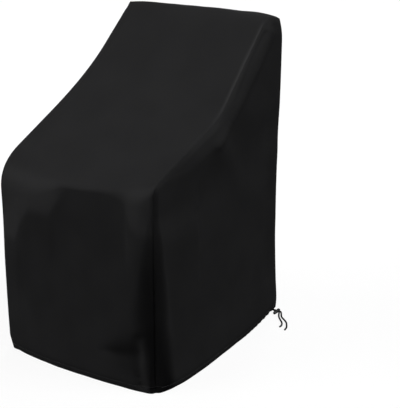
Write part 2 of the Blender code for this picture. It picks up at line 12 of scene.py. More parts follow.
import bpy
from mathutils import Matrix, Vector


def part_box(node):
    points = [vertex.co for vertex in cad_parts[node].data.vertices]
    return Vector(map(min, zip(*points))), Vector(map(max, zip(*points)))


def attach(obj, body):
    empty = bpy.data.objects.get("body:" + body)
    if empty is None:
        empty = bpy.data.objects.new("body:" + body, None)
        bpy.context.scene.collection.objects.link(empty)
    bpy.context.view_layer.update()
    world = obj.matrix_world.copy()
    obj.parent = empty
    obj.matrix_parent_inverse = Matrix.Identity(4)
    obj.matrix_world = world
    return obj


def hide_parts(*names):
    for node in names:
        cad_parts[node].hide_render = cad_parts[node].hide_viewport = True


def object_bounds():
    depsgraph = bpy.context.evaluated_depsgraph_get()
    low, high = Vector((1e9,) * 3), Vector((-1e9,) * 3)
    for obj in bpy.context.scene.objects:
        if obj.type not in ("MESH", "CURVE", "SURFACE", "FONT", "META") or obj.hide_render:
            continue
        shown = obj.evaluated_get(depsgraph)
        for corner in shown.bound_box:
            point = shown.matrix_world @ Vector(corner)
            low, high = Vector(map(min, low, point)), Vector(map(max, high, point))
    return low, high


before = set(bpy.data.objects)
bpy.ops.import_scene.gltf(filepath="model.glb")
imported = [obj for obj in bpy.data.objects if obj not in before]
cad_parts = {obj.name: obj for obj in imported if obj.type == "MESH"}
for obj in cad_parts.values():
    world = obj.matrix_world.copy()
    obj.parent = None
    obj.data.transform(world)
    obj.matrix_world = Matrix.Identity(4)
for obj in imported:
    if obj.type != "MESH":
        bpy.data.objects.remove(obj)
cad_low, cad_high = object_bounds()
floor_z = cad_low.z
print("CAD nodes:", sorted(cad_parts))
print("CAD box:", [round(c, 4) for c in cad_low], [round(c, 4) for c in cad_high])

# %% Bring in Blender and numpy
import math

import bpy
import numpy as np

scene = bpy.context.scene
print("Blender", bpy.app.version_string, "with numpy", np.__version__)

# %% [markdown]
# ## The camera
#
# A cover is best seen from a little above and from one front corner, so that the front, the
# slope of the back and one side all show. A long lens from four metres away keeps the upright
# seams upright. The lens covers the width of the frame, so the sensor is fitted horizontally.
# The lens is left without depth of field, because every part of a product picture is sharp.

# %% Make the camera
camera_lens = bpy.data.cameras.new("camera")
camera_lens.sensor_fit = "HORIZONTAL"
camera_lens.sensor_width = 36
camera_lens.lens = 100.1
camera = bpy.data.objects.new("camera", camera_lens)
camera.location = (2.29, -3.5425, floor_z + 1.88)
camera.rotation_euler = (math.radians(70.78), 0, math.radians(32.82))
scene.collection.objects.link(camera)
scene.camera = camera
print("camera stands", round(camera.location.length, 2), "m from the frame's origin")

# %% [markdown]
# ## Small formulas
#
# Cloth never starts or stops bending at once. Each fold, seam and hem below is one of these few
# soft steps, multiplied by a size in metres. They take whole arrays, so one call shapes a panel.


# %% Define the soft steps
def fall(t):
    """1 at t = 0, easing down to 0 at t = 1 and beyond: (1 - t) squared."""
    return np.clip(1 - np.abs(t), 0, 1) ** 2


def ease(t):
    """0 up to t = 0 and 1 from t = 1, with a smooth S between: t squared times (3 - 2 t)."""
    t = np.clip(t, 0, 1)
    return t * t * (3 - 2 * t)


def bell(t):
    """A bell: e to the power of minus t squared."""
    return np.exp(-(t**2))


def unit(vectors):
    """Each vector divided by its length."""
    return vectors / np.linalg.norm(vectors, axis=-1, keepdims=True)


print("half way down, fall and ease are", fall(0.5), ease(0.5))


# %% Define a smooth reading of a list of places
def smooth_between(keys, values, at):
    """The rows of `values`, which stand at `keys`, read at the places `at` on smooth cubics.

    The slope at a row is the harmonic mean of the slopes a and b of the two stretches that meet
    there, 2 a b / (a + b), or 0 where one rises and the other falls. So a curve passes through
    every row and never swings past it.
    """
    steep = np.diff(values, axis=0) / np.diff(keys)[:, None]
    a, b = steep[:-1], steep[1:]
    alike = a * b > 0
    mean = np.where(alike, 2 * a * b / np.where(alike, a + b, 1), 0)
    slope = np.vstack([steep[:1], mean, steep[-1:]])
    at = np.clip(np.asarray(at, float), keys[0], keys[-1])
    i = np.clip(np.searchsorted(keys, at, side="right") - 1, 0, len(keys) - 2)
    step = (keys[i + 1] - keys[i])[..., None]
    t = (at - keys[i])[..., None] / step
    smooth = values[i] + (values[i + 1] - values[i]) * ease(t)
    return smooth + step * t * (1 - t) * ((1 - t) * slope[i] - t * slope[i + 1])


print("1, 2 and 5 at the places 0, 1 and 2 give at 1.5:",
      smooth_between(np.arange(3), np.array([[1.0], [2.0], [5.0]]), 1.5))


# %% Define lengths along a line of points
def run_along(line):
    """How far each point of a line lies from its start: the sum of the steps before it."""
    steps = np.linalg.norm(np.diff(line[:, :3], axis=0), axis=1)
    return np.concatenate([[0], np.cumsum(steps)])


def length_of(line):
    """The length of a line through points."""
    return np.linalg.norm(np.diff(line, axis=0), axis=1).sum()


def evenly(line, count):
    """`count` points at even steps along a line of points, with every column read alike."""
    run = run_along(line)
    even = np.linspace(0, run[-1], count)
    return np.column_stack([np.interp(even, run, column) for column in line.T])


print("a 3 by 4 corner is", length_of(np.array([[0.0, 3], [0, 0], [4, 0]])), "long")

# %% [markdown]
# ## From a grid of points to a mesh
#
# Every new piece is a grid: rows of points, worked out by a formula in numpy. This one helper
# joins neighbouring points with four-sided faces. It can also close each row into a ring, for
# a tube, and then it closes both ends with a fan. It measures which way the faces point and
# turns them outward, and it lays a UV map in metres, so that woven patterns keep a real size.


# %% Define a grid's faces
def corners_of(rows, columns, ring):
    """The row and column of each face's four corners, in a grid of points."""
    i, j = np.mgrid[0 : rows - 1, 0 : columns if ring else columns - 1]
    return [(i, j), (i, j + 1), (i + 1, j + 1), (i + 1, j)]


def fans(rows, columns, cloth_uv):
    """The three-sided faces, with their UVs, that close a tube's first and last ring.

    The middle points of the two rings follow the grid's own points, in that order.
    """
    around, last, middle = np.arange(columns), (rows - 1) * columns, rows * columns
    after = (around + 1) % columns
    start = np.stack([after, around, np.full(columns, middle)], axis=-1)
    end = np.stack([last + around, last + after, np.full(columns, middle + 1)], axis=-1)
    first, final = cloth_uv[0], cloth_uv[-1]
    start_uv = np.stack([first[1:], first[:-1], (first[1:] + first[:-1]) / 2], axis=1)
    end_uv = np.stack([final[:-1], final[1:], (final[1:] + final[:-1]) / 2], axis=1)
    uvs = np.vstack([start_uv.reshape(-1, 2), end_uv.reshape(-1, 2)])
    return start.tolist() + end.tolist(), uvs


print("a grid of 3 by 3 points has", corners_of(3, 3, ring=False)[0][0].size, "faces")


# %% Define the grid mesh
def grid_piece(name, points, cloth_uv, inside=(0, 0, 0), ring=False):
    """An object whose mesh joins a (rows, columns, 3) grid of points.

    `cloth_uv` gives each point's place on the UV map, with one more column for a ring. The
    faces are turned if the sum of (face centre - inside) . (face normal) is below 0.
    """
    rows, columns = points.shape[:2]
    corners = corners_of(rows, columns, ring)
    quads = np.stack([r * columns + c % columns for r, c in corners], axis=-1).reshape(-1, 4)
    uvs = np.stack([cloth_uv[r, c] for r, c in corners], axis=-2).reshape(-1, 4, 2)
    flat = points.reshape(-1, 3)
    a, b, c, d = (flat[quads[:, k]] - inside for k in range(4))
    outward = np.sum((a + b + c + d) * np.cross(c - a, d - b)) > 0
    faces, uv_rows = quads.tolist(), uvs.reshape(-1, 2)
    if ring:
        fan_faces, fan_uvs = fans(rows, columns, cloth_uv)
        flat = np.vstack([flat, points[0].mean(axis=0), points[-1].mean(axis=0)])
        faces, uv_rows = faces + fan_faces, np.vstack([uv_rows, fan_uvs])
    mesh = bpy.data.meshes.new(name)
    mesh.from_pydata(flat, [], faces)
    mesh.uv_layers.new(name="cloth").data.foreach_set("uv", uv_rows.ravel())
    if not outward:
        mesh.flip_normals()
    mesh.shade_smooth()
    piece = bpy.data.objects.new(name, mesh)
    scene.collection.objects.link(piece)
    return piece


def faces_of(piece):
    """The number of faces in a piece's own mesh."""
    return len(piece.data.polygons)


# %% [markdown]
# ## The drawcord's free ends
#
# The cord is 7 mm braided polyester, limp, with heat-sealed ends. Its two ends leave the open
# end of the hem at the rear corner, drop to the ground, pass side by side through the lock and
# lie on the ground in two loose curves. A bevelled curve would give a plain rod, so each end is
# a tube from a formula, and the braid's lumps are part of its radius. The routes are the CAD
# model's own, so that the braid lies where the plain tubes were.

# %% List the two routes
hem_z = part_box("centre_panel")[0].z
CORD = 0.0068  # diameter
# x, y, and the height of the middle of the cord above the hem's level
SHORT_END_ROUTE = (
    (0.3322, 0.0178, 0.0280),
    (0.3322, 0.0250, 0.0222),
    (0.3318, 0.0325, 0.0170),
    (0.3312, 0.0382, 0.0122),
    (0.3326, 0.0410, 0.0085),
    (0.3356, 0.04145, 0.0066),
    (0.3526, 0.04145, 0.0066),
    (0.3562, 0.0398, 0.0060),
    (0.3610, 0.0290, 0.0046),
    (0.3728, 0.0080, 0.0036),
    (0.3900, -0.0125, 0.0035),
    (0.4063, -0.0304, 0.0035),
    (0.4150, -0.0440, 0.0035),
    (0.4200, -0.0580, 0.0035),
    (0.4205, -0.0728, 0.0035),
)
LONG_END_ROUTE = (
    (0.3238, 0.0215, 0.0245),
    (0.3234, 0.0290, 0.0185),
    (0.3226, 0.0372, 0.0148),
    (0.3234, 0.0448, 0.0112),
    (0.3280, 0.0483, 0.0080),
    (0.3352, 0.04855, 0.0066),
    (0.3530, 0.04855, 0.0066),
    (0.3588, 0.0475, 0.0062),
    (0.3645, 0.0415, 0.0052),
    (0.3712, 0.0305, 0.0042),
    (0.3825, 0.0125, 0.0036),
    (0.4055, -0.0068, 0.0035),
    (0.4215, -0.0218, 0.0035),
    (0.4352, -0.0422, 0.0035),
    (0.4460, -0.0650, 0.0035),
    (0.4500, -0.0860, 0.0035),
)
print("the hem's level is", round(hem_z, 4), "and the routes have", len(SHORT_END_ROUTE), "and",
      len(LONG_END_ROUTE), "points")


# %% Define a smooth route
def smooth_route(route, step=0.0006):
    """Points a small step apart on the smooth curve through a route's points."""
    points = np.array(route, float) + (0, 0, hem_z)
    fine = smooth_between(np.arange(len(points)), points, np.linspace(0, len(points) - 1, 900))
    return evenly(fine, int(length_of(fine) / step))


routes = {"short": smooth_route(SHORT_END_ROUTE), "long": smooth_route(LONG_END_ROUTE)}
for which, route in routes.items():
    print(which, "end:", round(length_of(route), 3), "m in", len(route), "points")


# %% Define the braided tube along a route
STRANDS = 8  # that wind each way
LAY = 0.011  # along the cord, for one turn of a strand
SEALED = 0.004  # of melted tip


def braided_tube(name, centres, sides=32):
    """A braid along the points `centres`.

    Two sets of strands wind opposite ways, one turn every lay. With a the angle round the cord,
    b the turn along it and s the strands, each lump is |sin(s (a + b) / 2) sin(s (a - b) / 2)|,
    and it stands 7% of the radius proud. At the tip the lumps melt into one smooth bead, whose
    radius ends as a quarter of a circle.
    """
    tangent = unit(np.gradient(centres, axis=0))
    aside = unit(np.cross(tangent, (0, 0, 1)))
    above = np.cross(aside, tangent)
    angle = np.linspace(0, 2 * np.pi, sides + 1)
    along = np.linspace(0, length_of(centres), len(centres))[:, None]
    turn = 2 * np.pi * along / LAY
    lumps = np.abs(np.sin(STRANDS * (angle + turn) / 2) * np.sin(STRANDS * (angle - turn) / 2))
    to_end = along[-1] - along
    melted = 1 - ease(to_end / SEALED)
    radius = CORD / 2 * ((0.93 + 0.07 * lumps) * (1 - melted) + 0.97 * melted)
    radius *= np.sqrt(1 - np.clip(1 - to_end / (0.45 * CORD), 0, 0.98) ** 2)
    ring = aside[:, None] * np.cos(angle)[:, None] + above[:, None] * np.sin(angle)[:, None]
    points = centres[:, None] + ring * radius[..., None]
    uv = np.stack(np.broadcast_arrays(angle * CORD / 2, along), axis=-1)
    return grid_piece(name, points[:, :-1], uv, ring=True)


print("a strand makes", round(length_of(routes["long"]) / LAY), "turns on the long end")


# %% Lay both free ends
cord_ends = {}
for which, route in routes.items():
    end = braided_tube(f"braided_cord_{which}", route)
    cord_ends[which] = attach(end, "cover")
    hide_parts(f"drawcord_end_{which}")
    print(end.name, "has", faces_of(end), "faces")

# %% [markdown]
# ## The shape of the hanging cloth
#
# A cloth simulation needs the chair inside, which isn't part of this object, and it gives other
# folds each time a number changes. So the hanging shape is described as a pattern maker would
# see it. The centre panel's course from hem to top is given at eight sections across its width.
# The CAD panels come from a plainer description of the same kind. The one here follows the
# front corner's gathers, the cloth over the arms and the sides beside the slope more closely.
#
# Three lengths are used: "x" from side to side, "out" forward of the back panel, and "up" above
# the hem.

# %% Set the main sizes
WIDTH, BACK_Y = 0.700, 0.035  # of the cover, and where its back panel stands
HALF = WIDTH / 2
SIDE_DEPTH = 0.84  # of a side panel, along the hem
SHOULDER_UP, TOP_UP = 0.72, 1.20  # heights of the bend above the front, and of the top
SHOULDER_AT, WAIST_AT, TOP_AT = 0.42, 0.68, 0.93  # shares of the way up the centre panel
CLOTH = 0.0008  # thickness of the coated cloth
print("the cover is", WIDTH, "m wide and", round(cad_high.z - hem_z, 3), "m high")

# %% Set how the cloth turns at seams and hem
SEAM_GAP = 0.0005  # from a seam's middle to the face of each panel
SETBACK_REACH = 0.012  # over which a panel draws back from a seam
FOLD_FADE = 0.018  # over which folds die out towards a seam
CREASE_WIDTH = 0.010  # of the narrow crease beside a gathered seam
HEM_CURL, HEM_CURL_REACH = 0.010, 0.045  # how far the drawn hem turns in, and over what height
TOP_SEAM_DEPTH, TOP_SEAM_WIDTH = 0.006, 0.020
print("the hem turns in by", 1000 * HEM_CURL, "mm over", 1000 * HEM_CURL_REACH, "mm")

# %% Set how the cloth stands out
SIDE_BULGE, SIDE_BULGE_FRONT, SIDE_BULGE_REAR = 0.016, 0.20, 0.55  # and its ramps' lengths
SIDE_BULGE_LOSS, SIDE_BULGE_LOSS_FROM, SIDE_BULGE_LOSS_OVER = 0.60, 0.35, 0.60  # going up
SIDE_LIFT, SIDE_LIFT_FRONT, SIDE_LIFT_REAR = 0.012, 0.060, 0.12  # beside the chair's back
SIDE_LIFT_FROM, SIDE_LIFT_OVER = 0.72, 0.20
BACK_BULGE, BACK_BULGE_EDGE = 0.010, 0.20
print("the sides stand out by", 1000 * SIDE_BULGE, "mm and the back by", 1000 * BACK_BULGE, "mm")

# %% List the sections of the centre panel
# Where a row of the panel bends at the shoulder, the waist and the top's edge, and over what
# length, for eight sections from one side (-1) to the other (1)
SECTIONS = (
    ("across", "hem_out", "shoulder_out", "shoulder_up", "shoulder_bend", "waist_out",
     "waist_up", "waist_bend", "top_out", "top_up", "top_bend", "rear_up"),
    (-1.00, 0.802, 0.812, 0.722, 0.105, 0.300, 0.957, 0.190, 0.030, 1.178, 0.026, 1.197),
    (-0.72, 0.822, 0.826, 0.716, 0.095, 0.320, 0.944, 0.150, 0.045, 1.190, 0.034, 1.199),
    (-0.42, 0.834, 0.834, 0.712, 0.070, 0.345, 0.930, 0.110, 0.060, 1.196, 0.040, 1.200),
    (-0.05, 0.838, 0.838, 0.709, 0.016, 0.370, 0.918, 0.090, 0.070, 1.199, 0.040, 1.200),
    (0.32, 0.838, 0.840, 0.719, 0.016, 0.390, 0.908, 0.080, 0.080, 1.200, 0.040, 1.200),
    (0.60, 0.834, 0.840, 0.730, 0.032, 0.410, 0.900, 0.070, 0.095, 1.200, 0.045, 1.200),
    (0.82, 0.828, 0.838, 0.746, 0.060, 0.428, 0.900, 0.065, 0.110, 1.201, 0.050, 1.199),
    (1.00, 0.822, 0.832, 0.764, 0.030, 0.445, 0.900, 0.065, 0.125, 1.205, 0.055, 1.197),
)
print(len(SECTIONS) - 1, "sections of", len(SECTIONS[0]) - 1, "numbers each")

# %% [markdown]
# ## Where the cloth is drawn in, folded and pulled
#
# A sewn seam lies a little deeper than the cloth beside it, and most of all where the cord in
# the hem gathers it. Soft folds run from the places where the chair holds the cloth up. The arms
# push the front out, the cord lifts the hem's corner at the lock, and the top's rear corners are
# drawn in. Each of these could be sculpted by hand, but a short table of places and sizes is
# easier to read and to mend, and two neighbours can read the same row, so that a seam stays
# closed.

# %% List how far the front seams are drawn in
# By the share of the way along a seam: how far in it lies, over what width each panel turns
# towards it, how deep the narrow crease at the seam itself is, and how much shade is painted there
SEAM_RIGHT = (
    ("along", "centre_depth", "centre_width", "side_depth", "side_width", "crease", "gathered"),
    (0.000, 0.020, 0.050, 0.030, 0.062, 0.004, 0.94),
    (0.035, 0.024, 0.075, 0.035, 0.056, 0.007, 0.94),
    (0.100, 0.028, 0.094, 0.036, 0.046, 0.008, 0.90),
    (0.150, 0.026, 0.090, 0.033, 0.036, 0.008, 0.76),
    (0.200, 0.022, 0.076, 0.030, 0.030, 0.007, 0.62),
    (0.270, 0.011, 0.040, 0.022, 0.024, 0.004, 0.36),
    (0.315, 0.007, 0.028, 0.018, 0.020, 0.002, 0.24),
    (0.350, 0.005, 0.018, 0.016, 0.018, 0.002, 0.10),
    (0.390, 0.004, 0.014, 0.012, 0.015, 0.001, 0.00),
    (0.430, 0.004, 0.014, 0.007, 0.018, 0.000, 0.00),
    (0.520, 0.005, 0.016, 0.006, 0.018, 0.000, 0.00),
    (0.660, 0.0065, 0.018, 0.007, 0.020, 0.000, 0.00),
    (0.880, 0.0080, 0.020, 0.007, 0.020, 0.000, 0.00),
    (1.000, 0.005, 0.016, 0.006, 0.020, 0.000, 0.00),
)
SEAM_LEFT = (
    ("along", "centre_depth", "centre_width", "side_depth", "side_width", "crease", "gathered"),
    (0.000, 0.009, 0.034, 0.008, 0.034, 0.003, 0.30),
    (0.035, 0.003, 0.018, 0.002, 0.016, 0.001, 0.10),
    (0.200, 0.005, 0.020, 0.0035, 0.018, 0.000, 0.00),
    (0.320, 0.007, 0.050, 0.008, 0.024, 0.000, 0.00),
    (0.430, 0.006, 0.026, 0.009, 0.024, 0.000, 0.00),
    (0.600, 0.008, 0.026, 0.008, 0.020, 0.000, 0.00),
    (0.880, 0.010, 0.032, 0.006, 0.018, 0.000, 0.00),
    (1.000, 0.006, 0.020, 0.006, 0.020, 0.000, 0.00),
)
print("the right front seam's foot is", round(1000 * SEAM_RIGHT[1][1]), "mm in,",
      "and the left one's", round(1000 * SEAM_LEFT[1][1]), "mm")

# %% List how far the upright rear seams are drawn in
# By height above the hem: how far in a seam lies, and over what width the panels turn to it
REAR_RIGHT = (
    ("up", "depth", "width"),
    (0.000, 0.006, 0.022),
    (0.050, 0.004, 0.016),
    (0.160, 0.007, 0.024),
    (0.400, 0.012, 0.034),
    (0.700, 0.011, 0.032),
    (0.950, 0.006, 0.020),
    (1.120, 0.005, 0.018),
    (1.200, 0.006, 0.020),
)
REAR_LEFT = (
    ("up", "depth", "width"),
    (0.000, 0.016, 0.045),
    (0.080, 0.009, 0.028),
    (0.400, 0.010, 0.030),
    (0.800, 0.009, 0.028),
    (1.100, 0.006, 0.020),
    (1.200, 0.006, 0.020),
)
print("the left rear seam's foot is", round(1000 * REAR_LEFT[1][1]), "mm in")

# %% List the folds
# Each fold is a soft ridge, or a trough where its height is below 0, on a curve from start to
# end that is drawn towards via. Places are (x, out, up)
FOLDS = (
    ("start", "via", "end", "wide", "wide_end", "high", "high_end"),
    # the foot of the front corner, where the drawcord gathers the cloth
    ((0.350, 0.80, 0.205), (0.331, 0.80, 0.16), (0.327, 0.81, 0.01), 0.006, 0.007, 0.007, 0.011),
    ((0.302, 0.82, 0.20), (0.290, 0.82, 0.12), (0.304, 0.82, 0.03), 0.018, 0.016, -0.010, -0.012),
    ((0.15, 0.84, 0.131), (0.22, 0.83, 0.130), (0.29, 0.83, 0.142), 0.012, 0.030, -0.002, -0.006),
    # the side on +X: beside the slope's seam, and from the chair's back to its arm
    ((0.345, 0.145, 1.15), (0.345, 0.235, 1.08), (0.345, 0.33, 0.96),
     0.010, 0.008, -0.005, -0.003),
    ((0.345, 0.115, 1.15), (0.345, 0.245, 0.98), (0.345, 0.48, 0.82), 0.020, 0.018, 0.007, 0.005),
    ((0.345, 0.455, 0.82), (0.345, 0.350, 0.69), (0.345, 0.23, 0.56), 0.050, 0.060, 0.010, 0.004),
    ((0.345, 0.790, 0.64), (0.345, 0.650, 0.66), (0.345, 0.50, 0.66),
     0.060, 0.070, -0.010, -0.008),
    ((0.345, 0.090, 0.90), (0.345, 0.110, 0.60), (0.345, 0.09, 0.20),
     0.030, 0.035, -0.003, -0.004),
    # the slope in front of the chair's back
    ((0.120, 0.13, 1.15), (0.100, 0.25, 1.02), (0.085, 0.42, 0.89),
     0.026, 0.034, -0.0022, -0.0016),
    ((-0.080, 0.11, 1.17), (-0.110, 0.26, 1.00), (-0.200, 0.50, 0.86),
     0.050, 0.060, 0.0024, 0.002),
    # the side on -X
    ((-0.345, 0.430, 0.82), (-0.345, 0.34, 0.70), (-0.345, 0.25, 0.52),
     0.050, 0.065, 0.009, 0.004),
    ((-0.345, 0.780, 0.56), (-0.345, 0.64, 0.60), (-0.345, 0.48, 0.62),
     0.060, 0.070, -0.009, -0.007),
    ((-0.345, 0.090, 1.10), (-0.345, 0.23, 0.93), (-0.345, 0.47, 0.80),
     0.022, 0.020, 0.006, 0.004),
    ((-0.345, 0.180, 0.70), (-0.345, 0.16, 0.40), (-0.345, 0.20, 0.02),
     0.032, 0.045, 0.003, 0.008),
    # the back, in three broad folds
    ((-0.170, 0.0, 1.00), (-0.150, 0.0, 0.50), (-0.190, 0.0, 0.00), 0.040, 0.055, -0.004, -0.009),
    ((0.040, 0.0, 0.90), (0.020, 0.0, 0.45), (0.050, 0.0, 0.00), 0.050, 0.060, 0.003, 0.006),
    ((0.200, 0.0, 1.05), (0.190, 0.0, 0.60), (0.230, 0.0, 0.06), 0.036, 0.046, -0.004, -0.007),
)
print(len(FOLDS) - 1, "folds")

# %% List where the chair's arms lift the front
# By the place across: how far down the front the cloth is drawn over an arm's end, and how far
# out the arm pushes it
ARM_ENDS = (
    ("x", "down_to", "high"),
    (-0.350, 0.460, 0.004),
    (-0.275, 0.460, 0.010),
    (-0.230, 0.530, 0.013),
    (-0.175, 0.590, 0.014),
    (-0.095, 0.590, 0.012),
    (-0.055, 0.635, 0.006),
    (-0.015, 0.680, 0.002),
    (0.030, 0.703, 0.000),
    (0.185, 0.708, 0.000),
    (0.238, 0.688, 0.004),
    (0.268, 0.620, 0.011),
    (0.305, 0.595, 0.014),
    (0.350, 0.585, 0.007),
)
ARM_TOP, ARM_FADE = 0.745, 0.15  # height where the push begins, and how it dies out below
FRONT_OUT = 0.6  # further out than this is the front
print("the arms push the front out by up to", 1000 * max(row[2] for row in ARM_ENDS[1:]), "mm")

# %% List the pulled corners
# The cloth near each place is drawn by the given step, less and less up to its reach
PULLS = (
    ("place", "reach", "step"),
    ((0.350, 0.0, 0.0), 0.235, (0.002, 0.0, 0.037)),
    ((0.350, 0.0, 1.2), 0.100, (-0.012, 0.004, -0.012)),
    ((-0.350, 0.0, 1.2), 0.080, (0.006, 0.004, -0.006)),
)
print("the drawcord lifts its corner by", 1000 * PULLS[1][2][2], "mm")


# %% Define how a table is read
def read_table(table, at):
    """Every column of a table by its name, at the values `at` of its first column."""
    rows = np.array(table[1:], float)
    read = smooth_between(rows[:, 0], rows[:, 1:], at)
    return {name: read[..., k] for k, name in enumerate(table[0][1:])}


def rows_of(table):
    """A table's rows, each as a dictionary by the names of its columns."""
    return [dict(zip(table[0], row)) for row in table[1:]]


quarter = read_table(SEAM_RIGHT, 0.25)
print("a quarter along, the right front seam's centre depth is", quarter["centre_depth"].round(4))


# %% Define the folds and the pulls
def fold_height(x, out, up):
    """How far folds and arm ends push the cloth outward.

    A fold gives high * bell(distance / wide). The cloth over an arm's end rises from nothing to
    full on the way down, and dies out below.
    """
    where = np.stack([x, out, up], axis=-1)
    total = np.zeros_like(x)
    share = np.linspace(0, 1, 24)
    for fold in rows_of(FOLDS):
        curve = np.outer((1 - share) ** 2, fold["start"])
        curve += np.outer(2 * share * (1 - share), fold["via"])
        curve += np.outer(share**2, fold["end"])
        away = np.linalg.norm(where[..., None, :] - curve, axis=-1)
        t = share[away.argmin(axis=-1)]
        wide = fold["wide"] + (fold["wide_end"] - fold["wide"]) * t
        high = fold["high"] + (fold["high_end"] - fold["high"]) * t
        total += high * bell(away.min(axis=-1) / wide)
    arm = read_table(ARM_ENDS, x)
    over = ease((ARM_TOP - up) / (ARM_TOP - arm["down_to"]))
    below = bell(np.minimum(up - arm["down_to"], 0) / ARM_FADE)
    return total + arm["high"] * over * below * (out > FRONT_OUT)


def pulled(x, out, up):
    """The points moved by every pull: step * (1 - distance / reach) squared."""
    moved = [x, out, up]
    for pull in rows_of(PULLS):
        offsets = [now - place for now, place in zip((x, out, up), pull["place"])]
        strength = fall(np.sqrt(sum(offset**2 for offset in offsets)) / pull["reach"])
        moved = [now + step * strength for now, step in zip(moved, pull["step"])]
    return moved


on_arm = fold_height(np.array([-0.2]), np.array([0.83]), np.array([0.55]))[0]
print("over the left arm's end the front stands out by", round(1000 * on_arm, 1), "mm")


# %% Define the cloth's fine unevenness and the hem's curl
def unevenness(x, out, up, seed=4, waves=14, high=0.00026):
    """The slight waviness of hanging cloth: a sum of sine waves, 7 to 22 cm long, each in its
    own direction. The seed keeps them the same each time."""
    pick = np.random.default_rng(seed)
    direction = unit(pick.normal(size=(waves, 3)) * (1, 1, 0.45))
    number = 2 * np.pi / pick.uniform(0.07, 0.22, waves)
    start = pick.uniform(0, 2 * np.pi, waves)
    where = np.stack([x, out, up], axis=-1)
    return high * np.sin(where @ (direction * number[:, None]).T + start).sum(axis=-1)


def hem_curl(up, from_seam):
    """The drawn hem's turn inward. It dies out towards a seam, whose own depth takes it over."""
    return HEM_CURL * fall(up / HEM_CURL_REACH) * ease(from_seam / HEM_CURL_REACH)


line = np.linspace(0, 1, 200)
print("the waviness up the middle of the back is +-",
      round(1000 * np.abs(unevenness(0 * line, 0 * line, 1.2 * line)).max(), 2), "mm")


# %% [markdown]
# ## The four surfaces
#
# Each panel is a function from two shares, across it and along it, to a place. The centre panel
# is a bent strip. A side is the patch between the strip's edge and the upright rear seam, and
# the back is a flat rectangle. The folds are added along each panel's own direction outward, and
# near a seam they give way to the seam's depth. So neighbours meet there however each is folded.


# %% Define the centre panel's course
def bend(t, half):
    """A ramp that is 0 before t = 0 and t after it, rounded by a parabola over +-half."""
    return np.where(np.abs(t) < half, (t + half) ** 2 / (4 * half), np.maximum(t, 0))


def course(along, across):
    """(out, up) of the centre panel: a strip bent through the points of its section.

    It starts at the hem in the first direction, and at each bend the change of direction is
    added through a rounded ramp.
    """
    at = read_table(SECTIONS, across)
    zero = np.zeros_like(at["hem_out"])
    stops = (0, SHOULDER_AT, WAIST_AT, TOP_AT, 1)
    outs = (at["hem_out"], at["shoulder_out"], at["waist_out"], at["top_out"], zero)
    ups = (zero, at["shoulder_up"], at["waist_up"], at["top_up"], at["rear_up"])
    bends = (at["shoulder_bend"], at["waist_bend"], at["top_bend"])
    runs = np.diff(stops)
    to_out = [(outs[k + 1] - outs[k]) / runs[k] for k in range(4)]
    to_up = [(ups[k + 1] - ups[k]) / runs[k] for k in range(4)]
    out, up = outs[0] + to_out[0] * along, ups[0] + to_up[0] * along
    for k, length in zip((1, 2, 3), bends):
        speed = (np.hypot(to_out[k], to_up[k]) + np.hypot(to_out[k - 1], to_up[k - 1])) / 2
        half = np.minimum(length / speed, 0.98 * min(runs[k - 1], runs[k]))
        ramp = bend(along - stops[k], half)
        out = out + (to_out[k] - to_out[k - 1]) * ramp
        up = up + (to_up[k] - to_up[k - 1]) * ramp
    return out, up


def course_normal(along, across):
    """(out, up) of the direction straight out of the centre panel's course."""
    step = 0.002
    ahead, behind = course(along + step, across), course(along - step, across)
    to_out, to_up = ahead[0] - behind[0], ahead[1] - behind[1]
    length = np.hypot(to_out, to_up)
    return to_up / length, -to_out / length


middle = np.stack(course(line, 0 * line), axis=-1)
print("the centre panel is", round(length_of(middle), 3), "m long in the middle")


# %% Define a front seam and the centre panel's surface
def seam(side, along):
    """A front seam's table read along it, with the small ripple that sewing leaves in it."""
    at = read_table(SEAM_RIGHT if side > 0 else SEAM_LEFT, along)
    ripple = np.sin(278 * along + 2 * side) + 0.6 * np.sin(167 * along + 1.7 * np.sin(31 * along))
    at["centre_depth"] = at["centre_depth"] + 0.00028 * ripple
    at["side_depth"] = at["side_depth"] - 0.00036 * ripple
    return at


def centre_surface(across, along):
    """(x, out, up) of the centre panel, from side to side and from the hem to behind the top.

    It is the course, moved along its normal by the folds and turned in at seams and hem.
    """
    out, up = course(along, across)
    normal_out, normal_up = course_normal(along, across)
    right, left = seam(1, along), seam(-1, along)
    from_right, from_left = (1 - across) * HALF, (1 + across) * HALF
    from_seam = np.minimum(from_right, from_left)
    turns = (
        right["centre_depth"] * fall(from_right / right["centre_width"])
        + right["crease"] * fall(from_right / CREASE_WIDTH),
        left["centre_depth"] * fall(from_left / left["centre_width"])
        + left["crease"] * fall(from_left / CREASE_WIDTH),
        TOP_SEAM_DEPTH * fall(out / TOP_SEAM_WIDTH) * (along > WAIST_AT),
    )
    x = across * HALF
    soft = fold_height(x, out, up) + unevenness(x, out, up)
    height = soft * ease(np.minimum(from_seam, out) / FOLD_FADE)
    height = height - np.maximum.reduce(turns) - hem_curl(up, from_seam)
    shift_right, shift_left = (at["side_depth"] + at["crease"] for at in (right, left))
    x = x - shift_right * (1 + across) / 2 + shift_left * (1 - across) / 2
    behind = ease((along - TOP_AT) / (1 - TOP_AT))
    out = out + height * normal_out * (1 - behind) + TOP_SEAM_DEPTH * behind
    return x, out, up + height * normal_up


front_out = centre_surface(0 * line, line)[1].max()
print("the middle of the front stands", round(front_out, 3), "m forward of the back")


# %% Define a patch between four edges
def blended(back_share, up_share, edges, corners):
    """A Coons patch: the two upright edges blended, plus the two level ones, less the corners."""
    front, rear, low, high = edges
    low_front, low_rear, high_front, high_rear = corners
    a, b = back_share, up_share
    low_line = (1 - a) * low_front + a * low_rear
    high_line = (1 - a) * high_front + a * high_rear
    return (1 - a) * front + a * rear + (1 - b) * (low - low_line) + b * (high - high_line)


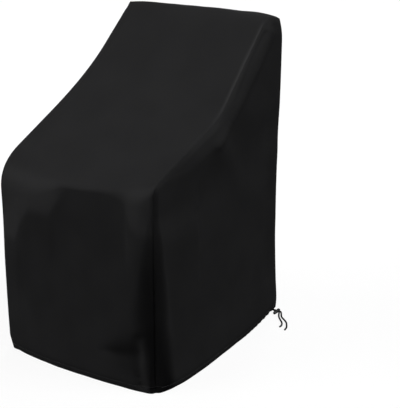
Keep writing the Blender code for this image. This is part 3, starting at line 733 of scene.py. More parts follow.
def side_outline(side, back_share, up_share):
    """(out, up) of a side panel, flat: a patch between the centre panel's edge and the upright
    rear seam. The third result is how far a point lies behind the front edge at its level."""
    rear = REAR_RIGHT if side > 0 else REAR_LEFT
    edge = np.full_like(up_share, float(side))
    zero, one = np.zeros_like(up_share), np.ones_like(up_share)
    front_out, front_up = centre_surface(edge, up_share * TOP_AT)[1:]
    top_out, top_up = centre_surface(edge, TOP_AT + back_share * (1 - TOP_AT))[1:]
    low_out = centre_surface(edge, zero)[1]
    peak_out, peak_up = centre_surface(edge, TOP_AT * one)[1:]
    corner_out, corner_up = centre_surface(edge, one)[1:]
    rear_up = front_up / peak_up * corner_up
    rear_out, foot_out = read_table(rear, rear_up)["depth"], read_table(rear, zero)["depth"]
    hem_out = low_out + (foot_out - low_out) * back_share
    out = blended(back_share, up_share, (front_out, rear_out, hem_out, top_out),
                  (low_out, foot_out, peak_out, corner_out))
    up = blended(back_share, up_share, (front_up, rear_up, zero, top_up),
                 (zero, zero, peak_up, corner_up))
    return out, up, front_out - out


print("the middle of a flat patch of 2 by 1:",
      blended(0.5, 0.5, (0.0, 2.0, 1.0, 1.0), (0.0, 2.0, 0.0, 2.0)))


# %% Define distances from a side panel's front seam
def drawn_back(from_seam):
    """How far a panel's points move away from a seam, so that its edge stops short of it."""
    return SEAM_GAP * fall(from_seam / SETBACK_REACH)


def front_seam_near(side, out, up):
    """For each point of a side: its distance from the front seam, the share of the way along
    the seam that it is nearest to, and the seam's direction (out, up) there.

    The nearest of 700 points on the seam is found first. The distance is then taken square to
    the seam's direction there, and the share moves ahead by what is left along it.
    """
    line = np.linspace(0, 1, 700)
    seam_out, seam_up = centre_surface(np.full_like(line, float(side)), line)[1:]
    to_out, to_up = np.gradient(seam_out), np.gradient(seam_up)
    length = np.hypot(to_out, to_up)
    to_out, to_up = to_out / length, to_up / length
    away = np.hypot(out[..., None] - seam_out, up[..., None] - seam_up)
    nearest = away.argmin(axis=-1)
    off_out, off_up = out - seam_out[nearest], up - seam_up[nearest]
    ahead = off_out * to_out[nearest] + off_up * to_up[nearest]
    distance = np.abs(off_up * to_out[nearest] - off_out * to_up[nearest])
    inner = (nearest > 0) & (nearest < len(line) - 1)
    distance = np.where(inner, distance, away.min(axis=-1))
    share = np.clip(line[nearest] + inner * ahead / length[nearest] * line[1], 0, 1)
    return distance, share, to_out[nearest], to_up[nearest]


near = front_seam_near(1, np.array([0.5]), np.array([0.3]))
print("0.5 m out and 0.3 m up, the seam is", near[0].round(3), "m away")


# %% Define a side panel's surface
def side_bulge(up, behind_front, from_front, from_rear):
    """How far a side stands out: a broad bulge that is less higher up, and the lift that the
    chair's back gives the cloth beside the slope."""
    bulge = SIDE_BULGE * ease(behind_front / SIDE_BULGE_FRONT) * ease(from_rear / SIDE_BULGE_REAR)
    loss = SIDE_BULGE_LOSS * ease((up - SIDE_BULGE_LOSS_FROM) / SIDE_BULGE_LOSS_OVER)
    lift = SIDE_LIFT * ease(from_front / SIDE_LIFT_FRONT) * ease(from_rear / SIDE_LIFT_REAR)
    return bulge * (1 - loss) + lift * ease((up - SIDE_LIFT_FROM) / SIDE_LIFT_OVER)


def side_surface(side, back_share, up_share):
    """(x, out, up) of a side panel, from its front edge to the rear and from hem to top.

    It is its flat outline, moved out by its bulge and folds, and turned in towards both seams.
    """
    rear = REAR_RIGHT if side > 0 else REAR_LEFT
    out, up, behind_front = side_outline(side, back_share, up_share)
    from_front, at_share, to_out, to_up = front_seam_near(side, out, up)
    from_front = np.where((back_share == 0) | (up_share == 1), 0, from_front)
    from_rear = np.maximum(out - read_table(rear, up)["depth"], 0)
    back_off, forward = drawn_back(from_front), drawn_back(from_rear)
    out = out - back_off * to_up + forward
    up = up + back_off * to_out
    from_front, from_rear = from_front + back_off, from_rear + forward

    front, behind = seam(side, at_share), read_table(rear, up)
    turn = np.maximum(
        front["side_depth"] * fall(from_front / front["side_width"])
        + front["crease"] * fall(from_front / CREASE_WIDTH),
        behind["depth"] * fall(from_rear / behind["width"]),
    )
    from_seam = np.minimum(from_front, from_rear)
    flat_x = np.full_like(up_share, float(side)) * HALF
    soft = fold_height(flat_x, out, up) + unevenness(flat_x, out, up)
    soft = soft * ease(from_seam / FOLD_FADE)
    bulge = side_bulge(up, behind_front, from_front, from_rear)
    return side * (HALF + bulge + soft - turn - hem_curl(up, from_seam)), out, up


half_way = side_surface(1, np.array([[0.5]]), np.array([[0.5]]))
print("the middle of the right side:", [round(float(number[0, 0]), 3) for number in half_way])


# %% Define the back panel's surface
def back_surface(across, up_share):
    """(x, out, up) of the back panel, which hangs from the seam behind the top."""
    top_up = centre_surface(across, np.ones_like(across))[2]
    up = up_share * top_up
    right, left = read_table(REAR_RIGHT, up), read_table(REAR_LEFT, up)
    from_right, from_left = (1 - across) * HALF, (1 + across) * HALF
    turns = (
        right["depth"] * fall(from_right / right["width"]),
        left["depth"] * fall(from_left / left["width"]),
        TOP_SEAM_DEPTH * fall((top_up - up) / TOP_SEAM_WIDTH),
    )
    from_seam = np.minimum(np.minimum(from_right, from_left), top_up - up)
    x, flat_out = across * HALF, np.zeros_like(up)
    soft = fold_height(x, flat_out, up) + unevenness(x, flat_out, up)
    soft = soft * ease(from_seam / FOLD_FADE) + BACK_BULGE * ease(from_seam / BACK_BULGE_EDGE)
    out = np.maximum.reduce(turns) - soft + hem_curl(up, from_seam)
    x = x - right["depth"] * (1 + across) / 2 + left["depth"] * (1 - across) / 2
    return x, out, up - drawn_back(top_up - up)


half_way = back_surface(np.zeros(1), np.full(1, 0.5))
print("the middle of the back:", [round(float(number[0]), 3) for number in half_way])


# %% [markdown]
# ## Seam allowances and the hem
#
# A panel doesn't end at a seam. About 8 mm of it turns inside, flat against its neighbour's
# edge, and that is why a seam looks like a fine dark line and not like a gap. At the bottom the
# cloth turns under, round the drawcord, and up inside to a line of stitches. Both are added to
# the finished grid as extra rows and columns, so that outside and inside are one piece of cloth.

# %% Set the sizes of the allowances
ALLOWANCE_STEPS = np.array([0.0012, 0.0040, 0.0080])  # inward from the edge
ALLOWANCE_CLOSING = np.array([0.80, 1.02, 1.02])  # shares of the step to the seam's middle
EXTRA = len(ALLOWANCE_STEPS)  # rows or columns that an allowance adds
NARROWED_OVER = 0.04  # at a seam's ends, where three panels meet
print("a seam allowance is", 1000 * ALLOWANCE_STEPS[-1], "mm wide and adds", EXTRA, "columns")

# %% Set the sizes of the hem
HEM_ROUND = 0.003  # height at which the cloth begins to turn under
STITCH_LINE = 0.0225  # height of the stitches
MITRED_OVER = 0.012  # at the hem's corners
INSIDE = np.array([0, BACK_Y - 0.4, hem_z + 0.5])  # a place in the middle of the cover
# How far inside the face the turned-under cloth lies, by its height above the bottom
HEM_FOLD = (
    ("inside", "up"),
    (0.0006, 0.0012),
    (0.0022, 0.0000),
    (0.0042, 0.0006),
    (0.0056, 0.0028),
    (0.0050, 0.0090),
    (0.0032, 0.0170),
    (0.0020, 0.0225),
    (0.0019, 0.0260),
)
HEM_ROWS = len(HEM_FOLD) - 1
print("the turned-under cloth reaches", 1000 * HEM_FOLD[-1][1], "mm up inside")


# %% Define the seam allowances
def allowance(points, turn, first):
    """Columns that carry a grid's first or last column inward, by each allowance step.

    `turn` is a pair for each row: the direction into the cover, and the step from the edge to
    the seam's middle, where two allowances meet. The columns narrow towards the seam's ends,
    where three panels meet.
    """
    inward, closing = (np.broadcast_to(way, points[:, 0].shape)[:, None] for way in turn)
    edge = points[:, 0] if first else points[:, -1]
    run = run_along(edge)
    narrow = 0.08 + 0.92 * ease(np.minimum(run, run[-1] - run) / NARROWED_OVER)
    extra = edge[:, None] + inward * (narrow[:, None] * ALLOWANCE_STEPS)[..., None]
    extra = extra + closing * ALLOWANCE_CLOSING[:, None]
    return extra[:, ::-1] if first else extra


def with_allowances(points, at_first, at_last, at_top):
    """The grid with its allowances, at both side edges and at the top edge."""
    parts = [allowance(points, at_first, True), points, allowance(points, at_last, False)]
    wide = np.concatenate(parts, axis=1)
    top = allowance(wide.swapaxes(0, 1), at_top, False)
    return np.concatenate([wide, top.swapaxes(0, 1)], axis=0)


square = np.stack(np.meshgrid([0.0, 0.1], [0.0, 0.1], [0.0]), axis=-1)[:, :, 0]
turned = with_allowances(square, *[(np.array([0, 0, -1]), np.zeros(3))] * 3)
print("2 by 2 points with their allowances are", turned.shape[:2])


# %% Define the turned-under hem
def carried_on(values):
    """Values along an edge, the first and last of them repeated for the allowances beyond."""
    return np.concatenate([values[:1]] * EXTRA + [values] + [values[-1:]] * EXTRA)


def with_hem(points, mitre_first, mitre_last):
    """The grid with the rows of its turned-under hem before its first row.

    Each row is the first one moved level, straight in from the cloth, by the table's amounts.
    At the ends the direction turns to the mitre between this panel and the next.
    """
    first = points[0]
    own = first[EXTRA:-EXTRA]
    along = unit(np.gradient(own, axis=0) * (1, 1, 0))
    level = np.stack([along[:, 1], -along[:, 0], 0 * along[:, 0]], axis=-1)
    level *= np.sign(np.sum(level * (INSIDE - own), axis=-1, keepdims=True))
    run = run_along(own)[:, None]
    blend = ease(run / MITRED_OVER) * ease((run[-1] - run) / MITRED_OVER)
    mitre = np.where(run < run[-1] / 2, mitre_first, mitre_last) * (1, 1, 0)
    level = carried_on(level * blend + unit(mitre) * math.sqrt(2) * (1 - blend))
    bottom = first - (0, 0, HEM_ROUND)
    rows = [bottom + level * row["inside"] + (0, 0, row["up"]) for row in rows_of(HEM_FOLD)]
    return np.concatenate([np.stack(rows[::-1]), points], axis=0)


def sewn(points, at_first, at_last, at_top):
    """The grid with allowances and hem. The hem's mitres turn in as the side seams do."""
    mitres = (np.broadcast_to(turn[0], points[:, 0].shape)[0] for turn in (at_first, at_last))
    return with_hem(with_allowances(points, at_first, at_last, at_top), *mitres)


hemmed = with_hem(turned, np.array([1, 0, 0]), np.array([-1, 0, 0]))
print("with a hem too they are", hemmed.shape[:2])


# %% Define the marks of the hem's cord, its stitches and its gathers
ROLL, ROLL_AT, ROLL_WIDTH = 0.0009, 0.006, 0.007  # over the cord inside
GROOVE, GROOVE_WIDTH = 0.0008, 0.0022  # along the stitches
PUCKER, PUCKER_PITCH = 0.0022, 0.031  # how high the gathers are, and how far apart
PUCKER_FROM, PUCKER_REACH, PUCKER_UP = 0.03, 0.42, 0.16  # along the hem, and up the cloth
UNGATHERED = 9.0  # a distance from the lock at which nothing is gathered


def hem_relief(above_hem, from_lock):
    """How far the outer face stands out along the hem.

    The cord inside makes a soft roll, the stitches a narrow groove, and the drawn cord gathers
    the cloth into puckers that are deepest at the lock's corner and die out upward.
    """
    roll = ROLL * bell((above_hem - ROLL_AT) / ROLL_WIDTH)
    groove = GROOVE * bell((above_hem - STITCH_LINE) / GROOVE_WIDTH)
    wave = np.sin(2 * np.pi * from_lock / PUCKER_PITCH + 5 * np.sqrt(from_lock))
    gathers = PUCKER * wave * fall(from_lock / PUCKER_REACH) * ease(from_lock / PUCKER_FROM)
    return roll - groove + gathers * fall(above_hem / PUCKER_UP)


at_stitches = 1000 * hem_relief(STITCH_LINE, UNGATHERED)
print("at the stitches the face stands", round(at_stitches, 2), "mm out")


# %% Define where a grid's rows and columns stand
def crowded(count, places, width=0.05, weight=3.0):
    """`count` shares from 0 to 1 that stand closer near each of the places."""
    fine = np.linspace(0, 1, 4000)
    density = 1 + weight * sum(bell((fine - place) / width) for place in places)
    total = np.cumsum(density)
    return np.interp(np.linspace(total[0], total[-1], count), total, fine)


def from_share(first, shares):
    """Shares from 0 to 1, squeezed so that they begin at the share `first`."""
    return first + (1 - first) * shares


print("5 shares that crowd at 0:", crowded(5, (0,), width=0.3).round(2))


# %% Define the points in the CAD model's frame
def placed(x, out, up):
    """Points in the frame of the CAD model, after the pulls, from x, out and up."""
    x, out, up = pulled(x, out, up)
    return np.stack([x, BACK_Y - out, hem_z + up], axis=-1)


def raised(points, height):
    """The grid moved along its own normals, away from the inside, by a height at each point."""
    normal = unit(np.cross(np.gradient(points, axis=0), np.gradient(points, axis=1)))
    if np.sum(normal * (points - INSIDE)) < 0:
        normal = -normal
    return points + normal * height[..., None]


lock_corner = placed(*np.array([[HALF], [0], [0]]))[0]
print("the hem's corner at the lock is drawn to", lock_corner.round(3))

# %% [markdown]
# ## Cutting the four panels
#
# Each panel is its surface on a fine grid, closer at the seams and at the hem, and then the
# relief of the hem, the allowances and the turned-under rows are added. The Solidify modifier
# gives the cloth its thickness on the inside, so that the outer face stays where it belongs.
# The UV map follows the threads of the flat cut: across the cloth and along it, in metres.


# %% Define the seams' inward directions
def into_front_seam(side, along):
    """Into the cover, half way between the two faces that meet at a front seam.

    Each face leans by twice its depth over its width, which is its slope at the seam.
    """
    at = seam(side, along)
    normal_out, normal_up = course_normal(along, np.full_like(along, float(side)))
    ahead = np.stack([0 * along, -normal_out, normal_up], axis=-1)
    aside = np.array([float(side), 0, 0])
    centre_lean = (2 * at["centre_depth"] / at["centre_width"])[:, None]
    side_lean = (2 * at["side_depth"] / at["side_width"])[:, None]
    return -unit(unit(ahead + centre_lean * aside) + unit(aside + side_lean * ahead))


def into_rear_seam(side):
    """Into the cover at an upright rear seam: between the side's face and the back's."""
    return -unit(np.array([side, 1.0, 0]))


INTO_TOP_SEAM = -unit(np.array([0, 1.0, 1.0]))
print("the left rear seam turns in along", into_rear_seam(-1).round(3))


# %% Define the seams' middle lines
def front_seam(side, along):
    """The middle line of a front seam."""
    return placed(*centre_surface(np.full_like(along, float(side)), along))


def rear_seam(side, up):
    """The middle line of an upright rear seam: as far in as it lies forward."""
    depth = read_table(REAR_RIGHT if side > 0 else REAR_LEFT, up)["depth"]
    return placed(side * (HALF - depth), depth, up)


def top_seam(across):
    """The middle line of the seam along the back's top."""
    return placed(*centre_surface(across, np.ones_like(across)))


for side, word in ((-1, "left"), (1, "right")):
    print(f"the {word} front seam is", round(length_of(front_seam(side, line)), 3), "m long")


# %% Define the threads' places
HEM_ROW_STEP = 0.003  # of cloth from one turned-under row to the next


def threads(across_m, along_m):
    """UV places in metres: across the cut and along it, carried on into hem and allowances."""
    across_m = np.concatenate([
        across_m[:1] - ALLOWANCE_STEPS[::-1], across_m, across_m[-1:] + ALLOWANCE_STEPS,
    ])
    under = -np.linspace(HEM_ROW_STEP * HEM_ROWS, HEM_ROW_STEP, HEM_ROWS)
    along_m = np.concatenate([along_m[:1] + under, along_m])
    return np.stack(np.meshgrid(across_m, along_m), axis=-1)


def up_the_cut(up_share):
    """Metres up an upright panel's cut at its rows, with those of its top allowance."""
    return np.concatenate([up_share, 1 + ALLOWANCE_STEPS]) * TOP_UP


print("2 by 2 points have threads at", threads(np.arange(2), up_the_cut([0, 1])).shape[:2])


# %% Define how a finished grid becomes a panel of cloth
def whole(share):
    """A share at each point of a surface, carried on into its hem and its allowances."""
    return np.pad(share, ((HEM_ROWS, EXTRA), (EXTRA, EXTRA)), mode="edge")


def panel(name, node, points, uv, **marks):
    """A cloth panel that stands for a CAD node. Each mark, from 0 to 1, becomes an attribute."""
    piece = grid_piece(name, points, uv, inside=INSIDE)
    for mark, share in marks.items():
        values = piece.data.attributes.new(mark, "FLOAT", "POINT").data
        values.foreach_set("value", whole(share).astype(np.float32).ravel())
    thick = piece.modifiers.new("cloth", "SOLIDIFY")
    thick.thickness, thick.offset = CLOTH, -1
    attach(piece, "cover")
    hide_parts(node)
    print(name, points.shape[:2], "grid,", faces_of(piece), "faces")
    return piece


def marked(share):
    """What part of a panel's points a mark covers, in words."""
    return f"{100 * np.mean(share > 0.05):.0f}% of the points"


print("a mark on 2 by 2 points is carried on over", whole(np.ones((2, 2))).shape)

# %% [markdown]
# ## The centre panel, with its painted light and shade
#
# The centre panel is one strip from the front hem over the arms and the slope to the top. Its
# colour carries marks. It is paler along the handled hem, and a thin highlight is painted along
# the slope's seams. Light is painted in as a paler tone where the front turns over the arms'
# ends, and shade as near black in the folds that the drawn hem gathers at the front corner. Each
# mark is a share from 0 to 1 at every point, worked out with the shape it belongs to, and the
# finish reads it by name: `edge` for the edges, and one each for the painted light and the
# painted fold shade. A painted image could do this too, but it would be coarser than the grid
# and would have to be laid out over the panels first.

# %% Spread the centre panel's grid
RELIEF_FADE = 0.012  # over which the hem's relief dies out towards a seam
across = (2 * crowded(128, (0, 1)) - 1) * (1 - SEAM_GAP / HALF)
hem_share = HEM_ROUND / SHOULDER_UP * SHOULDER_AT
along = from_share(hem_share, crowded(292, (0, 0.02, SHOULDER_AT, 1), width=0.03))
grid_across, grid_along = np.meshgrid(across, along)
x, out, up = centre_surface(grid_across, grid_along)
out = out + np.where(grid_along > TOP_AT, drawn_back(out - TOP_SEAM_DEPTH), 0)
from_side = (1 - np.abs(grid_across)) * HALF
relief = hem_relief(up, np.full_like(up, UNGATHERED)) * ease(from_side / RELIEF_FADE)
centre_grid = raised(placed(x, out, up), np.where(grid_along < SHOULDER_AT, relief, 0))
print("the centre panel's grid is", centre_grid.shape[:2])

# %% Turn in the centre panel's seams and hem
centre_sewn = sewn(
    centre_grid,
    (into_front_seam(-1, along), front_seam(-1, along) - centre_grid[:, 0]),
    (into_front_seam(1, along), front_seam(1, along) - centre_grid[:, -1]),
    (INTO_TOP_SEAM, carried_on(top_seam(across) - centre_grid[-1])),
)
strip = run_along(centre_grid[:, centre_grid.shape[1] // 2])
strip = np.concatenate([strip, strip[-1] + ALLOWANCE_STEPS])
centre_uv = threads(across * HALF, strip)
print("its cut is", round(strip[-1], 3), "m long, without the hem")

# %% Mark where the centre panel is handled, and where light is painted on it
HANDLED, HANDLED_UP = 0.4, 0.010  # how worn a hem or a rear seam is, and how far up
# Paler along the slope's seams, as a painted highlight, and along the hem, from handling
on_slope = ease((grid_along - 0.50) / 0.22) * ease((1.02 - grid_along) / 0.12)
wear_and_painted_highlight = np.maximum(fall(from_side / 0.024) * on_slope, HANDLED * fall(up / HANDLED_UP))
# Paler where the front turns over the arms' ends: painted light
arm = read_table(ARM_ENDS, grid_across * HALF)
over_arm = ease((up - arm["down_to"] + 0.02) / 0.04) * ease((0.440 - grid_along) / 0.035)
over_arm = over_arm * ease(arm["high"] / 0.009)
print("handled:", marked(wear_and_painted_highlight), "- rubbed:", marked(over_arm))

# %% Mark the painted shade in the folds beside the centre panel's seams
# How far from the right front seam the folds are painted dark, by height above the hem
FOLD_REACH = (
    ("up", "reach"),
    (0.00, 0.022),
    (0.14, 0.034),
    (0.24, 0.088),
    (0.36, 0.072),
    (0.49, 0.040),
    (0.62, 0.028),
    (1.20, 0.024),
)
FOLD_REACH_LEFT = 0.040
reach = read_table(FOLD_REACH, up)["reach"]
whole_dark = 0.014 * fall(up / 0.16)
from_right, from_left = (1 - grid_across) * HALF, (1 + grid_across) * HALF
# Near the front seams the colour is painted dark, as shade in the folds
in_fold = np.maximum(
    seam(1, grid_along)["gathered"] * (1 - ease((from_right - whole_dark) / (reach - whole_dark))),
    seam(-1, grid_along)["gathered"] * (1 - ease(from_left / FOLD_REACH_LEFT)),
)
print("gathered:", marked(in_fold))

# %% Mark the painted shade of the long fold across the foot of the front
# It is a wedge that begins as a line at the first x and widens to the right front seam
WEDGE_FROM, WEDGE_LENGTH = 0.13, 0.16
WEDGE_UP, WEDGE_RISE = 0.140, 0.016
WEDGE_THIN, WEDGE_WIDENS = 0.010, 0.062
WEDGE_DARK = 0.60
wedge_x = (grid_across * HALF - WEDGE_FROM) / WEDGE_LENGTH
wedge_up = WEDGE_UP + WEDGE_RISE * wedge_x
in_wedge = bell((up - wedge_up) / (WEDGE_THIN + WEDGE_WIDENS * ease(wedge_x)))
in_wedge = in_wedge * ease(wedge_x * 1.6)
in_fold = np.maximum(in_fold, WEDGE_DARK * in_wedge * ease((1.08 - wedge_x) / 0.26))
print("gathered, with the long fold:", marked(in_fold))

# %% Cut the centre panel
# Its marks: paler handled edges with a painted highlight, painted light, and painted fold shade
centre_cloth = panel(
    "centre_cloth", "centre_panel", centre_sewn, centre_uv,
    edge=wear_and_painted_highlight, rubbed=over_arm, gathered=in_fold,
)

# %% [markdown]
# ## The side panels
#
# The two side panels are cut alike and hang differently, so one set of helpers makes both and
# the tables above tell them apart. Their front edge is the centre panel's own edge, point for
# point, so that the seams close. Of the two, only the right one is puckered along its hem,
# because the lock holds the cord at its rear corner.


# %% Spread the side panels' grids
back_share = crowded(104, (0, 1), width=0.06)
up_share = crowded(260, (0, 0.02, SHOULDER_AT / TOP_AT, 1), width=0.03)
up_share = from_share(hem_share / TOP_AT, up_share)
grid_back, grid_up = np.meshgrid(back_share, up_share)
side_shapes = {side: side_surface(side, grid_back, grid_up) for side in (-1, 1)}


def side_grid(side):
    """A side's grid, with the hem's relief, which fades out over 1/40 of its depth at a seam."""
    x, out, up = side_shapes[side]
    relief = hem_relief(up, out if side > 0 else np.full_like(out, UNGATHERED))
    relief = relief * ease(grid_back * 40) * ease((1 - grid_back) * 40)
    return raised(placed(x, out, up), relief)


side_grids = {"left": side_grid(-1), "right": side_grid(1)}
print("each side panel's grid is", side_grids["left"].shape[:2])


# %% Define how a side's seams and hem turn in
def sewn_side(side, grid):
    """A side's grid with its allowances and hem: front seam, rear seam, and the slope above."""
    up_front, over_top = up_share * TOP_AT, TOP_AT + back_share * (1 - TOP_AT)
    rear_up = side_shapes[side][2][:, -1]
    return sewn(
        grid,
        (into_front_seam(side, up_front), front_seam(side, up_front) - grid[:, 0]),
        (into_rear_seam(side), rear_seam(side, rear_up) - grid[:, -1]),
        (into_front_seam(side, carried_on(over_top)),
         carried_on(front_seam(side, over_top) - grid[-1])),
    )


def side_threads(sewn_grid):
    """A side hangs plumb, so its threads run level and upright, as measured on the grid."""
    uv = threads(-back_share * SIDE_DEPTH, up_the_cut(up_share))
    uv[HEM_ROWS:, :, 0] = -(BACK_Y - sewn_grid[HEM_ROWS:, :, 1])
    uv[HEM_ROWS:, :, 1] = sewn_grid[HEM_ROWS:, :, 2] - hem_z
    return uv


print("the left side's front seam is sewn along", len(up_share), "rows")


# %% Define where a side is handled, and where light is painted on it
MEAN_DEPTH = 0.8  # of a side panel, level
SQUARE_TO_SLOPE = 0.72  # of a level distance from the slope's seam lies square to it


def side_wear_and_painted_light(side):
    """Paler where handled, at the hem and along the rear seam, with a painted highlight along the
    slope's seam; second, painted light beside the slope's seam and on the outer wall of the
    gathers."""
    out, up = side_shapes[side][1:]
    from_slope = (out[:, :1] - out) * SQUARE_TO_SLOPE
    on_slope = ease((grid_up * TOP_AT - 0.50) / 0.14)
    from_rear = (1 - grid_back) * MEAN_DEPTH
    wear_and_painted_highlight = HANDLED * np.maximum(fall(up / HANDLED_UP), fall(from_rear / 0.008))
    # Along the slope's seam the paler edge is a painted highlight
    wear_and_painted_highlight = np.maximum(wear_and_painted_highlight, 0.8 * fall(from_slope / 0.020) * on_slope)
    # Beside the slope's seam and on the gathers' outer wall the paler tone is painted light
    beside_slope = (1 - ease((from_slope - 0.020) / 0.028)) * on_slope * 0.5
    beside = seam(side, grid_up * TOP_AT)
    in_widths = grid_back * MEAN_DEPTH / beside["side_width"]
    outer_wall = bell((in_widths - 0.75) / 0.45) * beside["gathered"]
    return wear_and_painted_highlight, np.maximum(beside_slope, outer_wall * ease((up - 0.16) / 0.12))


print("the right side is handled on", marked(side_wear_and_painted_light(1)[0]))


# %% Define the painted shade in a side's folds at its front seam
def side_painted_fold_shade(side):
    """Painted shade from the front seam back: wholly at first, then less and less up to a reach.
    """
    up = side_shapes[side][2]
    beside = seam(side, grid_up * TOP_AT)
    reach = beside["side_width"] * 0.9 + 0.036 * fall(up / 0.24)
    whole_dark = reach * 0.5 * fall(up / 0.36)
    in_fold = (grid_back * MEAN_DEPTH - whole_dark) / (reach - whole_dark)
    return beside["gathered"] * (1 - ease(in_fold)) * (0.75 + 0.25 * fall(up / 0.35))


print("the right side is gathered on", marked(side_painted_fold_shade(1)))

# %% Cut the two side panels
side_cloths = {}
for side, word in ((-1, "left"), (1, "right")):
    grid = sewn_side(side, side_grids[word])
    # A side's marks: paler handled edges with a painted highlight, painted light, and painted fold
    # shade
    wear_and_painted_highlight, rubbed = side_wear_and_painted_light(side)
    side_cloths[word] = panel(
        f"side_cloth_{word}", f"side_panel_{word}", grid, side_threads(grid),
        edge=wear_and_painted_highlight, rubbed=rubbed, gathered=side_painted_fold_shade(side),
    )

# %% [markdown]
# ## The back panel
#
# The back is one plain upright rectangle between the two rear seams and the top seam, and it
# hangs over the flat back of the chair. It is made as the others are. Its hem is puckered
# towards the lock as well, and it bears no marks but those of its handled edges.

# %% Spread the back panel's grid
across = (2 * crowded(104, (0, 1)) - 1) * (1 - SEAM_GAP / HALF)
up_share = from_share(HEM_ROUND / TOP_UP, crowded(190, (0, 0.02, 1), width=0.03))
grid_across, grid_up = np.meshgrid(across, up_share)
x, out, up = back_surface(grid_across, grid_up)
from_side = (1 - np.abs(grid_across)) * HALF
relief = hem_relief(up, (1 - grid_across) * HALF) * ease(from_side / RELIEF_FADE)
back_grid = raised(placed(x, out, up), relief)
print("the back panel's grid is", back_grid.shape[:2])

# %% Cut the back panel
grid = sewn(
    back_grid,
    (into_rear_seam(-1), rear_seam(-1, up[:, 0]) - back_grid[:, 0]),
    (into_rear_seam(1), rear_seam(1, up[:, -1]) - back_grid[:, -1]),
    (INTO_TOP_SEAM, carried_on(top_seam(across) - back_grid[-1])),
)
from_edge = np.minimum(from_side, np.minimum(up, TOP_UP - up))
# On the back the paler edges come from handling alone
wear_and_painted_highlight = HANDLED * fall(from_edge / 0.009)
back_uv = threads(across * HALF, up_the_cut(up_share))
back_cloth = panel("back_cloth", "back_panel", grid, back_uv, edge=wear_and_painted_highlight)

# %% [markdown]
# ## Stitches along the hem
#
# The hem is closed with one row of black lockstitch. Each stitch in sight is a short grain of
# thread between two needle holes. All of them are one mesh: a small grain shape, copied to even
# places along the row of the panels' grids that lies at the stitch line.

# %% Find the stitches' places
STITCH_PITCH, STITCH_LENGTH, THREAD = 0.0036, 0.0031, 0.00045


def stitch_places(grid):
    """Even places along the grid row nearest the stitch line: point, direction and normal."""
    middle = grid[:, grid.shape[1] // 2, 2] - grid[0, grid.shape[1] // 2, 2] + HEM_ROUND
    row = int(np.abs(middle - STITCH_LINE).argmin())
    normal = unit(np.cross(np.gradient(grid, axis=0), np.gradient(grid, axis=1)))[row]
    line, level = grid[row], unit(np.gradient(grid[row], axis=0))
    normal *= np.sign(np.sum(normal * (line - INSIDE)))
    count = int(length_of(line) / STITCH_PITCH)
    even = evenly(np.concatenate([line, level, normal], axis=1), count)[1:-1]
    return even[:, :3], unit(even[:, 3:6]), unit(even[:, 6:])


places = [stitch_places(g) for g in (centre_grid, *side_grids.values(), back_grid)]
print([len(where) for where, along, out in places], "stitches")

# %% Shape a grain of thread at each place
GRAIN_RINGS, GRAIN_SIDES = 5, 6
GRAIN_TIP, GRAIN_FLAT = 0.94, 0.8  # where its ends are cut off, and its height over its width


def grains(places):
    """One grain of thread at each place: an ellipsoid, long along the seam and half sunk."""
    where, along, out = (np.concatenate(parts) for parts in zip(*places))
    aside = np.cross(out, along)
    bow, round_it = np.mgrid[-1 : 1 : GRAIN_RINGS * 1j, 0:GRAIN_SIDES]
    bow, angle = np.sin(bow * np.pi / 2) * GRAIN_TIP, round_it * 2 * np.pi / GRAIN_SIDES
    thick = THREAD * np.sqrt(1 - bow**2)
    high = GRAIN_FLAT * thick * np.sin(angle)
    local = np.stack([bow * STITCH_LENGTH / 2, thick * np.cos(angle), high])
    axes = np.stack([along, aside, out], axis=1)
    return where[:, None, None] + np.einsum("krc,nkd->nrcd", local, axes)


stitch_points = grains(places)
print("stitch points:", stitch_points.shape)

# %% Sew the stitches
corners = corners_of(GRAIN_RINGS, GRAIN_SIDES, ring=True)
grain = np.stack([r * GRAIN_SIDES + c % GRAIN_SIDES for r, c in corners], axis=-1)
first_ring = np.arange(GRAIN_SIDES)
caps = np.stack([first_ring[::-1], first_ring + (GRAIN_RINGS - 1) * GRAIN_SIDES])
base = np.arange(len(stitch_points))[:, None, None] * GRAIN_RINGS * GRAIN_SIDES
stitch_faces = (base + grain.reshape(-1, 4)).reshape(-1, 4).tolist()
stitch_faces += (base + caps).reshape(-1, GRAIN_SIDES).tolist()
stitch_mesh = bpy.data.meshes.new("hem_stitches")
stitch_mesh.from_pydata(stitch_points.reshape(-1, 3), [], stitch_faces)
stitch_mesh.shade_smooth()
stitches = bpy.data.objects.new("hem_stitches", stitch_mesh)
scene.collection.objects.link(stitches)
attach(stitches, "cover")
print(len(stitch_points), "stitches,", faces_of(stitches), "faces")

# %% [markdown]
# ## Writing finishes as sums
#
# A finish is a material whose nodes work out colour, roughness and relief. Wired by hand they
# are hard to read, so two small classes let them be written as ordinary sums. A `Finish` adds
# nodes. A `Wire` is one socket's value, and adding or multiplying wires adds the Math nodes
# that do so.


